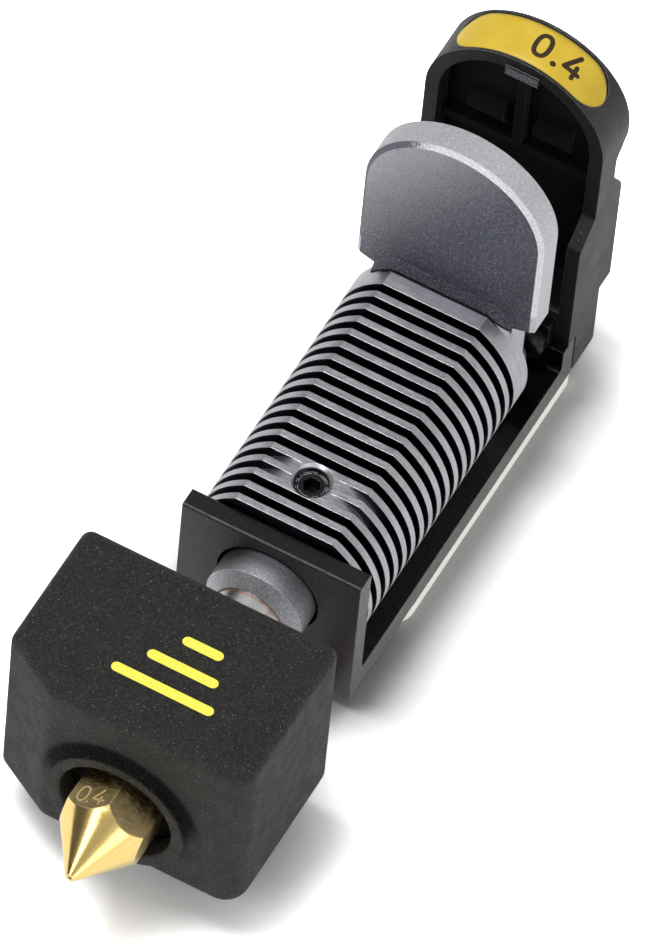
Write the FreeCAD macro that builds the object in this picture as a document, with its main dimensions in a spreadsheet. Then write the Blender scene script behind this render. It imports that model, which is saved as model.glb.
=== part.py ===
"""Quick-change hotend cartridge, lying on its back. Millimetres.

+X is to the right seen from the nozzle, +Y runs from the nozzle to the handle, +Z is up.
The pieces are built with x = 0 on the nozzle's axis, y = 0 on the front face of the
bracket's front flange and z = 0 under the bracket's base. Each node is then moved as a
whole, so that the origin is the middle of the contact board's underside.
"""
import FreeCAD, Part
import math
import os

import Sketcher
from FreeCAD import Placement, Rotation, Vector

doc = FreeCAD.newDocument("hotend")
sheet = doc.addObject("Spreadsheet::Sheet", "Sizes")
results = doc.addObject("Spreadsheet::Sheet", "Results")

# ---------------------------------------------------------------- driving dimensions
SIZES = [
    # bracket: a bent plate, its front flange round the heatsink's collar
    ("bracket_width", 18.0), ("bracket_length", 41.9), ("base_thick", 2.7),
    ("flange_thick", 2.0), ("flange_height", 17.35),
    ("rear_flange_thick", 2.1), ("rear_flange_height", 5.3), ("rear_gap", 4.85),
    ("tongue_width", 14.6), ("tongue_height", 8.0), ("bend_radius", 0.5),
    # heatsink: round fins with a flat top, on a core
    ("axis_height", 11.0), ("fin_radius", 9.0), ("fin_thick", 0.7), ("fin_count", 17),
    ("fin_start_gap", 0.2), ("core_radius", 4.4), ("flat_height", 7.55),
    ("rail_width", 6.0), ("end_thick", 2.55),
    ("collar_radius", 4.8), ("collar_gap", 0.3), ("collar_reach", 2.5), ("collar_nose", 0.95),
    ("nose_wall", 0.1),
    ("screw_fin", 3), ("land_left", 1.6), ("land_right", 2.0), ("land_round", 4.4),
    # filament path
    ("tube_radius", 3.35), ("tube_inside", 12.0), ("neck_radius", 2.1),
    ("tube_nose", 1.8), ("shoulder_length", 1.4), ("thread_radius", 3.0),
    ("filament_radius", 1.0), ("liner_radius", 2.0), ("liner_stick_out", 0.6), ("slip", 0.05),
    # set screw that holds the heat break
    ("set_screw_radius", 1.5), ("set_screw_sink", 0.7), ("set_screw_key", 1.5),
    ("set_screw_key_depth", 1.5), ("set_screw_point", 0.4), ("screw_mouth", 0.35),
    ("tube_groove_depth", 0.4), ("groove_margin", 0.6), ("tip_gap", 0.05),
    # silicone sock
    ("sock_width", 25.5), ("sock_shift", 0.65), ("sock_length", 17.05), ("sock_height", 20.0),
    ("sock_front", 27.0), ("sock_drop", 7.6), ("sock_wall", 1.6), ("sock_round", 1.0),
    ("sock_corner_round", 2.3), ("corner_across", 5.9), ("corner_along", 3.3),
    ("ring_radius", 6.88), ("ring_hole_radius", 5.55), ("ring_height", 0.8),
    ("sock_slip", 0.12), ("sock_lip", 1.25),
    # heater block and what it holds
    ("heater_radius", 3.0), ("heater_length", 13.0), ("heater_across", 5.5), ("heater_rise", 5.2),
    ("sensor_radius", 1.5), ("sensor_length", 9.0), ("sensor_across", 5.6), ("sensor_drop", 2.0),
    ("grub_radius", 1.5), ("grub_key", 1.5), ("grub_key_depth", 1.2),
    # nozzle
    ("nozzle_tip", 35.8), ("tip_radius", 0.45), ("hex_flats", 7.6), ("hex_turn", 6.0),
    ("cone_angle", 34.0), ("cone_base_radius", 4.7), ("orifice_radius", 0.2),
    ("orifice_length", 0.8), ("funnel_length", 1.2), ("thread_length", 7.0), ("seat_gap", 0.35),
    ("seat_groove_depth", 0.3),
    # locating plate behind the heatsink
    ("plate_thick", 3.0), ("plate_half", 9.0), ("plate_arch_height", 29.06),
    ("plate_shoulder", 17.5), ("plate_cut", 0.7), ("stem_half", 7.0), ("stem_bottom", 4.6),
    ("plate_chamfer", 0.4), ("lip", 0.9), ("lip_edge", 0.02),
    # pull handle
    ("handle_half", 9.0), ("handle_wall", 1.35), ("handle_arch_height", 30.1),
    ("handle_lap", 1.2), ("handle_set_back", 2.6), ("handle_step", 22.0),
    ("handle_depth", 8.0), ("floor_thick", 3.4), ("handle_slit", 0.35), ("foot_depth", 4.0),
    ("foot_height", 7.4), ("body_top", 21.2), ("groove_depth", 1.9), ("groove_low", 24.0),
    ("groove_high", 27.0), ("cap_bottom", 29.0), ("cavity_bottom", 9.5), ("rib_thick", 0.9),
    ("rib_height", 26.0), ("rib_depth", 1.0), ("rib_root", 0.3), ("roll_radius", 1.6),
    ("roll_height", 28.6),
    ("roll_across", 1.5), ("roll_length", 3.6), ("roll_sunk", 0.55),
    ("feed_radius", 1.4), ("tongue_gap", 0.15), ("edge_round", 0.45),
    # label and gate mark on the handle
    ("label_half", 7.3), ("label_front_margin", 0.3), ("label_rear_margin", 0.35), ("label_round", 2.1),
    ("label_thick", 0.15), ("label_sunk", 0.12),
    ("gate_width", 3.3), ("gate_shift", 0.25), ("gate_height", 1.3), ("gate_depth", 1.0),
    ("gate_proud", 0.1), ("gate_root", 0.17),
    # contact board under the bracket
    ("board_thick", 1.45), ("film_thick", 0.15), ("board_front", 9.8), ("board_overhang", 0.5),
    ("board_corner", 2.5), ("board_corner_rear", 1.0),
    ("plug_width", 15.0), ("plug_depth", 4.0),
    ("pad_count", 6), ("pad_pitch", 2.6), ("pad_width", 1.8), ("pad_length", 4.5),
    ("pad_set_back", 9.4), ("pad_thick", 0.05),
    # leads and their clamp
    ("heater_lead_radius", 0.5), ("sensor_lead_radius", 0.4), ("heater_lead_gap", 1.8),
    ("sensor_lead_gap", 1.2), ("lead_reach", 3.6), ("lead_fall", 6.3), ("lead_level", 0.8),
    ("lead_bend_top", 2.2), ("lead_bend_low", 4.0),
    ("clamp_front", 2.0), ("clamp_length", 6.0), ("clamp_width", 15.2),
    # screws
    ("pan_head_radius", 1.9), ("pan_head_height", 1.3), ("small_screw_radius", 1.0),
    ("small_key", 1.5), ("small_key_depth", 0.7), ("plate_screw_across", 5.2),
    ("plate_screw_drop", 2.8), ("plate_screw_bite", 2.0),
    ("handle_screw_across", 5.4), ("handle_screw_height", 5.4),
    ("handle_screw_bite", 3.2), ("boss_radius", 2.2), ("boss_length", 2.35),
    ("sunk_radius", 1.25), ("sunk_head_radius", 2.3), ("sunk_head_height", 1.1),
    ("sunk_key_share", 0.7),
    ("sunk_bite", 3.2), ("sunk_first", 14.0), ("sunk_pitch", 11.0),
    ("clamp_screw_radius", 0.9), ("clamp_head_radius", 1.8), ("clamp_head_height", 0.8),
    ("clamp_bite", 1.9),
]

for row, (alias, value) in enumerate(SIZES, start=1):
    sheet.set("A%d" % row, alias.replace("_", " "))
    sheet.set("B%d" % row, str(value))
    sheet.setAlias("B%d" % row, alias)
doc.recompute()

ALIASES = {alias for alias, _ in SIZES}

# places that several pieces share, as formulas of the sheet's names
FIN_START = "(flange_thick + fin_start_gap)"
PLATE_REAR = "(bracket_length - rear_flange_thick - rear_gap)"
END_REAR = "(bracket_length - rear_flange_thick - rear_gap - plate_thick)"
END_FRONT = "(bracket_length - rear_flange_thick - rear_gap - plate_thick - end_thick)"
FIN_PITCH = "((%s - %s) / fin_count)" % (END_FRONT, FIN_START)
FLAT_TOP = "(axis_height + flat_height)"
SCREW_Y = "(%s + screw_fin * %s + fin_thick / 2)" % (FIN_START, FIN_PITCH)
COLLAR_FRONT = "(-collar_reach - collar_nose)"
SOCK_LEFT = "(-sock_width / 2 - sock_shift)"
SOCK_RIGHT = "(sock_width / 2 - sock_shift)"
SOCK_REAR = "(-sock_front + sock_length)"
SOCK_BOTTOM = "(axis_height - sock_drop)"
BLOCK_INSET = "(sock_wall + sock_slip)"
BLOCK_FRONT = "(-sock_front + sock_wall + sock_slip)"
BLOCK_REAR = "(-sock_front + sock_length - sock_lip)"
BLOCK_TOP = "(axis_height - sock_drop + sock_height - sock_wall - sock_slip)"
BLOCK_BOTTOM = "(axis_height - sock_drop + sock_wall + sock_slip)"
HEX_REAR = "(-sock_front + sock_wall + sock_slip - seat_gap)"
THREAD_END = "(-sock_front + sock_wall + sock_slip + thread_length)"
BOARD_BOTTOM = "(-film_thick - board_thick)"
TONGUE_FRONT = "(bracket_length - rear_flange_thick)"
BOARD_REAR = "(bracket_length + board_overhang)"
HANDLE_FRONT = "(bracket_length - handle_lap)"
HANDLE_HIGH = "(bracket_length - handle_lap + handle_set_back)"
HANDLE_REAR = "(bracket_length - handle_lap + handle_depth)"
HANDLE_FLOOR = "(bracket_length - handle_lap + handle_depth - floor_thick)"


# ---------------------------------------------------------------- formulas and placing
def bound(formula):
    """The formula with each size name pointing at its cell."""
    words = []
    word = ""
    for letter in formula + " ":
        if letter.isalnum() or letter == "_":
            word += letter
            continue
        words.append("Sizes." + word if word in ALIASES else word)
        words.append(letter)
        word = ""
    return "".join(words).strip()


def number(formula):
    """The formula's value now, worked out in a sheet that nothing else reads."""
    results.set("A1", "=" + bound(formula))
    results.recompute()
    return float(results.get("A1"))


DIRECTIONS = {
    "+X": Vector(1, 0, 0), "-X": Vector(-1, 0, 0),
    "+Y": Vector(0, 1, 0), "-Y": Vector(0, -1, 0),
    "+Z": Vector(0, 0, 1), "-Z": Vector(0, 0, -1),
}


def place(piece, where, towards="+Z", turn="0"):
    """Put the piece's own origin at three formulas, its own Z pointing along an axis."""
    if towards != "+Z":
        piece.Placement = Placement(Vector(), Rotation(Vector(0, 0, 1), DIRECTIONS[towards]))
    if turn != "0":
        spin = Rotation(Vector(0, 0, 1), number(turn))
        piece.Placement = Placement(Vector(), piece.Placement.Rotation.multiply(spin))
    for letter, formula in zip("xyz", where):
        piece.setExpression("Placement.Base." + letter, bound(formula))
    return piece


def box(name, corner, size):
    piece = doc.addObject("Part::Box", name)
    for side, formula in zip(("Length", "Width", "Height"), size):
        piece.setExpression(side, bound(formula))
    return place(piece, corner)


def rod(name, start, radius, length, towards="+Y"):
    piece = doc.addObject("Part::Cylinder", name)
    piece.setExpression("Radius", bound(radius))
    piece.setExpression("Height", bound(length))
    return place(piece, start, towards)


def cone(name, start, radius, far_radius, length, towards="+Y"):
    piece = doc.addObject("Part::Cone", name)
    piece.setExpression("Radius1", bound(radius))
    piece.setExpression("Radius2", bound(far_radius))
    piece.setExpression("Height", bound(length))
    return place(piece, start, towards)


def hexagon(name, start, flats, length, towards="+Y", turn="0"):
    piece = doc.addObject("Part::Prism", name)
    piece.Polygon = 6
    piece.setExpression("Circumradius", bound("%s / sqrt(3)" % flats))
    piece.setExpression("Height", bound(length))
    return place(piece, start, towards, turn)


def fuse(name, pieces):
    piece = doc.addObject("Part::MultiFuse", name)
    piece.Shapes = pieces
    return piece


def common(name, pieces):
    piece = doc.addObject("Part::MultiCommon", name)
    piece.Shapes = pieces
    return piece


def cut(name, base, tools):
    piece = doc.addObject("Part::Cut", name)
    piece.Base = base
    piece.Tool = tools[0] if len(tools) == 1 else fuse(name + "_tools", tools)
    return piece


def group(name, pieces):
    piece = doc.addObject("Part::Compound", name)
    piece.Links = pieces
    return piece


def edge_numbers(shape, wanted):
    """Numbers of the edges whose own test says yes."""
    return [i for i, edge in enumerate(shape.Edges, start=1) if wanted(edge)]


def on_plane(edge, axis, level, tolerance=0.01):
    low = (edge.BoundBox.XMin, edge.BoundBox.YMin, edge.BoundBox.ZMin)[axis]
    high = (edge.BoundBox.XMax, edge.BoundBox.YMax, edge.BoundBox.ZMax)[axis]
    return abs(low - level) < tolerance and abs(high - level) < tolerance


def trimmed(kind, name, base, radius, wanted):
    """A Part::Fillet or Part::Chamfer of the base's wanted edges."""
    doc.recompute()
    size = number(radius)
    piece = doc.addObject(kind, name)
    piece.Base = base
    piece.Edges = [(i, size, size) for i in edge_numbers(base.Shape, wanted)]
    return piece


# ---------------------------------------------------------------- sketched pieces
def origin_plane(body, role):
    return [item for item in body.Origin.OriginFeatures if item.Role == role][0]


def hold_point(sketch, line, corner):
    """Fix a line's start at two formulas."""
    for kind, formula in zip(("DistanceX", "DistanceY"), corner):
        index = sketch.addConstraint(Sketcher.Constraint(kind, -1, 1, line, 1, number(formula)))
        sketch.setExpression("Constraints[%d]" % index, bound(formula))


def sketch_polygon(body, name, role, corners):
    """Straight-sided closed outline; each corner is a pair of formulas."""
    sketch = body.newObject("Sketcher::SketchObject", name)
    sketch.AttachmentSupport = [(origin_plane(body, role), "")]
    sketch.MapMode = "FlatFace"
    points = [Vector(number(u), number(v), 0) for u, v in corners]
    count = len(points)
    for i in range(count):
        sketch.addGeometry(Part.LineSegment(points[i], points[(i + 1) % count]))
    for i in range(count):
        sketch.addConstraint(Sketcher.Constraint("Coincident", i, 2, (i + 1) % count, 1))
    for i, corner in enumerate(corners):
        hold_point(sketch, i, corner)
    return sketch


def sketched_prism(name, role, corners, length, rounds=()):
    """Body of an outline padded both ways, with (radius, corner index list) fillets.

    A corner is rounded along the edge that the pad draws from it.
    """
    body = doc.addObject("PartDesign::Body", name)
    sketch = sketch_polygon(body, name + "_outline", role, corners)
    pad = body.newObject("PartDesign::Pad", name + "_pad")
    pad.Profile = sketch
    pad.SideType = "Symmetric"
    pad.setExpression("Length", bound(length))
    doc.recompute()
    previous = pad
    axes = {"YZ_Plane": (1, 2), "XY_Plane": (0, 1), "XZ_Plane": (0, 2)}[role]
    for number_, (radius, chosen) in enumerate(rounds):
        spots = [(number(corners[i][0]), number(corners[i][1])) for i in chosen]

        def along_corner(edge):
            middle = edge.valueAt((edge.FirstParameter + edge.LastParameter) / 2)
            flat = edge.BoundBox
            spans = (flat.XLength, flat.YLength, flat.ZLength)
            if spans[axes[0]] > 0.01 or spans[axes[1]] > 0.01:
                return False
            here = (middle[axes[0]], middle[axes[1]])
            return any(math.dist(here, spot) < 0.01 for spot in spots)

        names = ["Edge%d" % i for i in edge_numbers(previous.Shape, along_corner)]
        fillet = body.newObject("PartDesign::Fillet", "%s_round%d" % (name, number_))
        fillet.Base = (previous, names)
        fillet.setExpression("Radius", bound(radius))
        doc.recompute()
        previous = fillet
    body.Tip = previous
    return body


# ---------------------------------------------------------------- screws
def pan_screw(name, seat, length, towards):
    """Button-headed screw: its head stands on the seat, its shank runs the other way."""
    opposite = {"+": "-", "-": "+"}[towards[0]] + towards[1]
    head = rod(name + "_head", seat, "pan_head_radius", "pan_head_height", towards)
    rounded = trimmed("Part::Fillet", name + "_dome", head, "pan_head_height / 2",
                      lambda edge: is_outer_rim(edge, head, towards))
    shank = rod(name + "_shank", seat, "small_screw_radius", length, opposite)
    where = list(seat)
    axis = "XYZ".index(towards[1])
    sign = 1 if towards[0] == "+" else -1
    where[axis] = "%s + %d * (pan_head_height - small_key_depth)" % (seat[axis], sign)
    key = hexagon(name + "_key", where, "small_key", "small_key_depth * 2", towards)
    return cut(name, fuse(name + "_solid", [rounded, shank]), [key])


def is_outer_rim(edge, head, towards):
    """True on the circle at the end of a head that faces outwards."""
    axis = "XYZ".index(towards[1])
    limits = head.Shape.BoundBox
    far = ((limits.XMin, limits.YMin, limits.ZMin), (limits.XMax, limits.YMax, limits.ZMax))
    level = far[1][axis] if towards[0] == "+" else far[0][axis]
    return on_plane(edge, axis, level)


def sunk_screw(name, seat, radius, head_radius, head_height, length):
    """Countersunk screw that goes up from the seat, its head flush with it."""
    head = cone(name + "_head", seat, head_radius, radius, head_height, "+Z")
    shank = rod(name + "_shank", seat, radius, length, "+Z")
    key = hexagon(name + "_key", seat, radius, "%s * sunk_key_share" % head_height, "+Z")
    return cut(name, fuse(name + "_solid", [head, shank]), [key])


def sunk_hole(name, seat, radius, head_radius, head_height, length):
    """Cutter for a countersunk screw and its clearance."""
    head = cone(name + "_sink", seat, head_radius + " + slip", radius + " + slip",
                head_height, "+Z")
    shank = rod(name + "_bore", seat, radius + " + slip", length, "+Z")
    return fuse(name, [head, shank])


# ---------------------------------------------------------------- bracket
def sunk_places():
    return [("0", "sunk_first + %d * sunk_pitch" % i, "0") for i in range(2)]


def handle_screw_places():
    return [("%s * handle_screw_across" % side, TONGUE_FRONT, "handle_screw_height")
            for side in ("-1", "1")]


def make_bracket():
    plate = sketched_prism("bracket_plate", "YZ_Plane", [
        ("0", "0"), ("bracket_length", "0"), ("bracket_length", "rear_flange_height"),
        (TONGUE_FRONT, "rear_flange_height"), (TONGUE_FRONT, "base_thick"),
        ("flange_thick", "base_thick"), ("flange_thick", "flange_height"), ("0", "flange_height"),
    ], "bracket_width", rounds=[("bend_radius", [4, 5]), ("bend_radius / 2", [6, 7])])
    tongue = box("bracket_tongue", ("-tongue_width / 2", TONGUE_FRONT, "base_thick"),
                 ("tongue_width", "rear_flange_thick", "tongue_height - base_thick"))
    holes = [rod("bracket_collar_hole", ("0", "-1", "axis_height"), "collar_radius + collar_gap",
                 "flange_thick + 2")]
    for i, spot in enumerate(sunk_places()):
        holes.append(sunk_hole("bracket_sink%d" % i, spot, "sunk_radius", "sunk_head_radius",
                               "sunk_head_height", "base_thick + 1"))
    for i, (x, y, z) in enumerate(handle_screw_places()):
        holes.append(rod("bracket_handle_hole%d" % i, (x, y + " - 1", z),
                         "small_screw_radius + slip", "rear_flange_thick + 2"))
    holes.append(rod("bracket_clamp_hole", clamp_screw_place(), "clamp_screw_radius",
                     "clamp_bite - %s" % BOARD_BOTTOM, "+Z"))
    return cut("bracket", fuse("bracket_blank", [plate, tongue]), holes)


# ---------------------------------------------------------------- heatsink
def profile_box(name):
    """The slab between the heatsink's seat on the base and its flat top."""
    return box(name, ("-fin_radius * 2", "-collar_reach - collar_nose - 1", "base_thick"),
               ("fin_radius * 4", END_REAR + " + collar_reach + collar_nose + 1",
                FLAT_TOP + " - base_thick"))


def make_heatsink():
    lengthwise = ("0", FIN_START, "axis_height")
    run = "%s - %s" % (END_REAR, FIN_START)
    solids = [
        rod("heatsink_core", lengthwise, "core_radius", run),
        rod("heatsink_collar", ("0", "-collar_reach", "axis_height"), "collar_radius",
            "collar_reach + " + FIN_START),
        cone("heatsink_nose", ("0", COLLAR_FRONT, "axis_height"),
             "tube_radius + slip + nose_wall", "collar_radius", "collar_nose"),
        rod("heatsink_end", ("0", END_FRONT, "axis_height"), "fin_radius", "end_thick"),
        box("heatsink_rail", ("-rail_width / 2", FIN_START, "base_thick"),
            ("rail_width", run, "axis_height - base_thick")),
    ]
    for i in range(int(number("fin_count"))):
        start = ("0", "%s + %d * %s" % (FIN_START, i, FIN_PITCH), "axis_height")
        solids.append(rod("heatsink_fin%d" % i, start, "fin_radius", "fin_thick"))
    solids.append(make_screw_land())
    blank = common("heatsink_blank", [fuse("heatsink_raw", solids), profile_box("heatsink_slab")])
    holes = [
        rod("heatsink_tube_bore", ("0", COLLAR_FRONT + " - 1", "axis_height"),
            "tube_radius + slip", "collar_reach + collar_nose + tube_inside + 1"),
        rod("heatsink_liner_bore", ("0", "0", "axis_height"), "liner_radius + slip",
            END_REAR + " + 1"),
        rod("heatsink_screw_hole", ("0", SCREW_Y, "axis_height"), "set_screw_radius + slip",
            "flat_height + 1", "+Z"),
        cone("heatsink_screw_mouth", ("0", SCREW_Y, FLAT_TOP + " - screw_mouth"),
             "set_screw_radius + slip", "set_screw_radius + slip + screw_mouth", "screw_mouth",
             "+Z"),
    ]
    for i, (x, y, z) in enumerate(sunk_places()):
        holes.append(rod("heatsink_base_hole%d" % i, (x, y, "base_thick - 1"), "sunk_radius",
                         "sunk_bite + 1", "+Z"))
    for i, (x, y, z) in enumerate(plate_screw_places()):
        holes.append(rod("heatsink_plate_hole%d" % i, (x, y, z), "small_screw_radius",
                         "plate_thick + plate_screw_bite", "-Y"))
    return cut("heatsink", blank, holes)


def make_screw_land():
    """Metal left between three fins round the set screw, its two ends rounded off."""
    front, length = "%s - %s" % (SCREW_Y, FIN_PITCH), "2 * " + FIN_PITCH
    ends = [rod("heatsink_land_end%d" % i, (across, front, FLAT_TOP + " - land_round"),
                "land_round", length)
            for i, across in enumerate(("-land_left", "land_right"))]
    middle = box("heatsink_land_middle", ("-land_left", front, "axis_height"),
                 ("land_left + land_right", length, "flat_height"))
    return fuse("heatsink_land", [*ends, middle])


def make_heatsink_screws():
    return group("heatsink_screws", [
        sunk_screw("heatsink_screw%d" % i, spot, "sunk_radius", "sunk_head_radius",
                   "sunk_head_height", "base_thick + sunk_bite")
        for i, spot in enumerate(sunk_places())])


# ---------------------------------------------------------------- filament path
def make_heat_break():
    axis = "axis_height"
    tube_front = "(-collar_reach - collar_nose - tube_nose)"
    solids = [
        rod("break_tube", ("0", tube_front, axis), "tube_radius", "tube_inside - " + tube_front),
        rod("break_neck", ("0", BLOCK_REAR, axis), "neck_radius",
            "%s - %s + 1" % (tube_front, BLOCK_REAR)),
        rod("break_shoulder", ("0", BLOCK_REAR, axis), "tube_radius", "shoulder_length"),
        rod("break_thread", ("0", THREAD_END, axis), "thread_radius",
            "%s - %s" % (BLOCK_REAR, THREAD_END)),
    ]
    groove_start = ("0", SCREW_Y + " - set_screw_radius - groove_margin", axis)
    groove_length = "(set_screw_radius + groove_margin) * 2"
    groove = cut("break_groove",
                 rod("break_groove_out", groove_start, "tube_radius + 1", groove_length),
                 [rod("break_groove_in", groove_start, "tube_radius - tube_groove_depth",
                      groove_length)])
    bore = rod("break_bore", ("0", THREAD_END + " - 1", axis), "filament_radius",
               "tube_inside - %s + 2" % THREAD_END)
    return cut("heat_break", fuse("break_solid", solids), [groove, bore])


def make_liner():
    outside = rod("liner_outside", ("0", "tube_inside", "axis_height"), "liner_radius",
                  PLATE_REAR + " + liner_stick_out - tube_inside")
    bore = rod("liner_bore", ("0", "tube_inside - 1", "axis_height"), "filament_radius",
               PLATE_REAR + " + liner_stick_out - tube_inside + 2")
    return cut("filament_liner", outside, [bore])


def make_set_screw():
    bottom = "(axis_height + tube_radius - tube_groove_depth + tip_gap)"
    top = "(%s - set_screw_sink)" % FLAT_TOP
    shaft = rod("set_screw_shaft", ("0", SCREW_Y, bottom + " + set_screw_point"),
                "set_screw_radius", "%s - %s - set_screw_point" % (top, bottom), "+Z")
    point = cone("set_screw_tip", ("0", SCREW_Y, bottom), "set_screw_radius - set_screw_point",
                 "set_screw_radius", "set_screw_point", "+Z")
    key = hexagon("set_screw_key_hole", ("0", SCREW_Y, top + " - set_screw_key_depth"),
                  "set_screw_key", "set_screw_key_depth + 1", "+Z")
    return cut("set_screw", fuse("set_screw_solid", [shaft, point]), [key])


def make_nozzle():
    axis = "axis_height"
    reach = "(nozzle_tip + %s)" % HEX_REAR
    prism = hexagon("nozzle_hex", ("0", "-nozzle_tip", axis), "hex_flats", reach, "+Y",
                    "30 + hex_turn")
    cone_length = "(cone_base_radius - tip_radius) / tan(cone_angle)"
    taper = cone("nozzle_taper", ("0", "-nozzle_tip", axis), "tip_radius", "cone_base_radius",
                 cone_length)
    rest = rod("nozzle_rest", ("0", "-nozzle_tip + " + cone_length, axis), "cone_base_radius",
               "%s - %s" % (reach, cone_length))
    head = common("nozzle_head", [prism, fuse("nozzle_turned", [taper, rest])])
    groove = rod("nozzle_groove", ("0", HEX_REAR, axis),
                 "thread_radius - slip - seat_groove_depth", "seat_gap")
    thread = rod("nozzle_thread", ("0", HEX_REAR + " + seat_gap", axis), "thread_radius - slip",
                 "thread_length")
    melt = rod("nozzle_melt", ("0", "-nozzle_tip + orifice_length + funnel_length", axis),
               "filament_radius", "nozzle_tip + %s" % THREAD_END)
    funnel = cone("nozzle_funnel", ("0", "-nozzle_tip + orifice_length", axis), "orifice_radius",
                  "filament_radius", "funnel_length")
    orifice = rod("nozzle_orifice", ("0", "-nozzle_tip - 1", axis), "orifice_radius",
                  "orifice_length + 1.1")
    return cut("nozzle", fuse("nozzle_solid", [head, groove, thread]), [melt, funnel, orifice])


# ---------------------------------------------------------------- heater block and sock
def hot_outline(inset, rear):
    """Plan of the sock or, set in by a wall, of what it covers: one corner is cut off."""
    slope = "atan(corner_along / corner_across)"
    left, right, front = SOCK_LEFT, SOCK_RIGHT, "(-sock_front)"
    return [
        ("%s + %s" % (left, inset), rear),
        ("%s + %s" % (left, inset),
         "%s + corner_along + %s * (1 - sin(%s)) / cos(%s)" % (front, inset, slope, slope)),
        ("%s + corner_across + %s * tan(%s / 2)" % (left, inset, slope),
         "%s + %s" % (front, inset)),
        ("%s - %s" % (right, inset), "%s + %s" % (front, inset)),
        ("%s - %s" % (right, inset), rear),
    ]


def make_heater_block():
    body = sketched_prism("block_blank", "XY_Plane", hot_outline(BLOCK_INSET, BLOCK_REAR),
                          "%s - %s" % (BLOCK_TOP, BLOCK_BOTTOM))
    place(body, ("0", "0", "(%s + %s) / 2" % (BLOCK_TOP, BLOCK_BOTTOM)))
    depth = "%s - %s + 2" % (BLOCK_REAR, BLOCK_FRONT)
    holes = [
        rod("block_axis_hole", ("0", BLOCK_FRONT + " - 1", "axis_height"), "thread_radius", depth),
        rod("block_heater_hole", heater_place(), "heater_radius", "heater_length", "-Y"),
        rod("block_sensor_hole", sensor_place(), "sensor_radius", "sensor_length", "-Y"),
    ]
    for i, (start, length, towards) in enumerate(grub_places()):
        holes.append(rod("block_grub_hole%d" % i, start, "grub_radius", length, towards))
    return cut("heater_block", body, holes)


def heater_place():
    return ("-heater_across", BLOCK_REAR, "axis_height + heater_rise")


def sensor_place():
    return ("sensor_across", BLOCK_REAR, "axis_height - sensor_drop")


def grub_places():
    """Start on the cartridge, length out to the block's face, and direction."""
    middle = "(%s - %s / 2)" % (BLOCK_REAR, "heater_length")
    sensor_middle = "(%s - %s / 2)" % (BLOCK_REAR, "sensor_length")
    heater_top = "(axis_height + heater_rise + heater_radius)"
    sensor_low = "(axis_height - sensor_drop - sensor_radius)"
    return [
        (("-heater_across", middle, heater_top), "%s - %s" % (BLOCK_TOP, heater_top), "+Z"),
        (("sensor_across", sensor_middle, sensor_low),
         "%s - %s" % (sensor_low, BLOCK_BOTTOM), "-Z"),
    ]


def make_grub_screws():
    screws = []
    for i, (start, length, towards) in enumerate(grub_places()):
        sign = "+" if towards == "+Z" else "-"
        shaft = rod("grub_shaft%d" % i, start, "grub_radius", length, towards)
        key_start = (start[0], start[1],
                     "%s %s (%s - grub_key_depth)" % (start[2], sign, length))
        key = hexagon("grub_key%d" % i, key_start, "grub_key", "grub_key_depth + 1", towards)
        screws.append(cut("grub_screw%d" % i, shaft, [key]))
    return group("block_grub_screws", screws)


def make_sock():
    outside = sketched_prism("sock_outside", "XY_Plane", hot_outline("0", SOCK_REAR),
                             "sock_height",
                             rounds=[("sock_corner_round", [3]), ("sock_round", [0, 1, 2, 4])])
    place(outside, ("0", "0", "%s + sock_height / 2" % SOCK_BOTTOM))
    top, bottom = number(SOCK_BOTTOM + " + sock_height"), number(SOCK_BOTTOM)
    soft = trimmed("Part::Fillet", "sock_soft", outside, "sock_round",
                   lambda edge: (on_plane(edge, 2, top) or on_plane(edge, 2, bottom))
                   and not on_plane(edge, 1, number(SOCK_REAR)))
    ring = rod("sock_ring", ("0", "-sock_front - ring_height", "axis_height"), "ring_radius",
               "ring_height + sock_wall / 2")
    inside = sketched_prism("sock_inside", "XY_Plane", hot_outline("sock_wall", SOCK_REAR + " + 1"),
                            "sock_height - 2 * sock_wall")
    place(inside, ("0", "0", "%s + sock_height / 2" % SOCK_BOTTOM))
    hole = rod("sock_hole", ("0", "-sock_front - ring_height - 1", "axis_height"),
               "ring_hole_radius", "ring_height + sock_wall + 2")
    return cut("silicone_sock", fuse("sock_solid", [soft, ring]), [inside, hole])


# ---------------------------------------------------------------- locating plate
def plate_screw_places():
    return [("%s * plate_screw_across" % side, PLATE_REAR, "axis_height - plate_screw_drop")
            for side in ("-1", "1")]


def make_locating_plate():
    lower = sketched_prism("plate_lower", "XZ_Plane", [
        ("-stem_half", "stem_bottom"), ("stem_half", "stem_bottom"),
        ("stem_half", "plate_shoulder - plate_cut"), ("plate_half", "plate_shoulder"),
        ("plate_half", "plate_arch_height"), ("-plate_half", "plate_arch_height"),
        ("-plate_half", "plate_shoulder"), ("-stem_half", "plate_shoulder - plate_cut"),
    ], "plate_thick")
    place(lower, ("0", "%s + plate_thick / 2" % END_REAR, "0"))
    arch = rod("plate_arch", ("0", END_REAR, "plate_arch_height"), "plate_half", "plate_thick")
    blank = fuse("plate_blank", [lower, arch])
    blank.Refine = True
    shoulder = number("plate_shoulder - plate_cut")

    chamfered = trimmed("Part::Chamfer", "plate_chamfered", blank, "plate_chamfer",
                        lambda edge: on_plane(edge, 1, number(END_REAR))
                        and edge.BoundBox.ZMax > shoulder + 0.1)
    holes = [rod("plate_liner_hole", ("0", END_REAR + " - 1", "axis_height"),
                 "liner_radius + slip", "plate_thick + 2")]
    for i, (x, y, z) in enumerate(plate_screw_places()):
        holes.append(rod("plate_screw_hole%d" % i, (x, y + " + 1", z),
                         "small_screw_radius + slip", "plate_thick + 2", "-Y"))
    plate = cut("plate_drilled", chamfered, holes)
    return fuse("locating_plate", [plate, make_plate_lip()])


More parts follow.
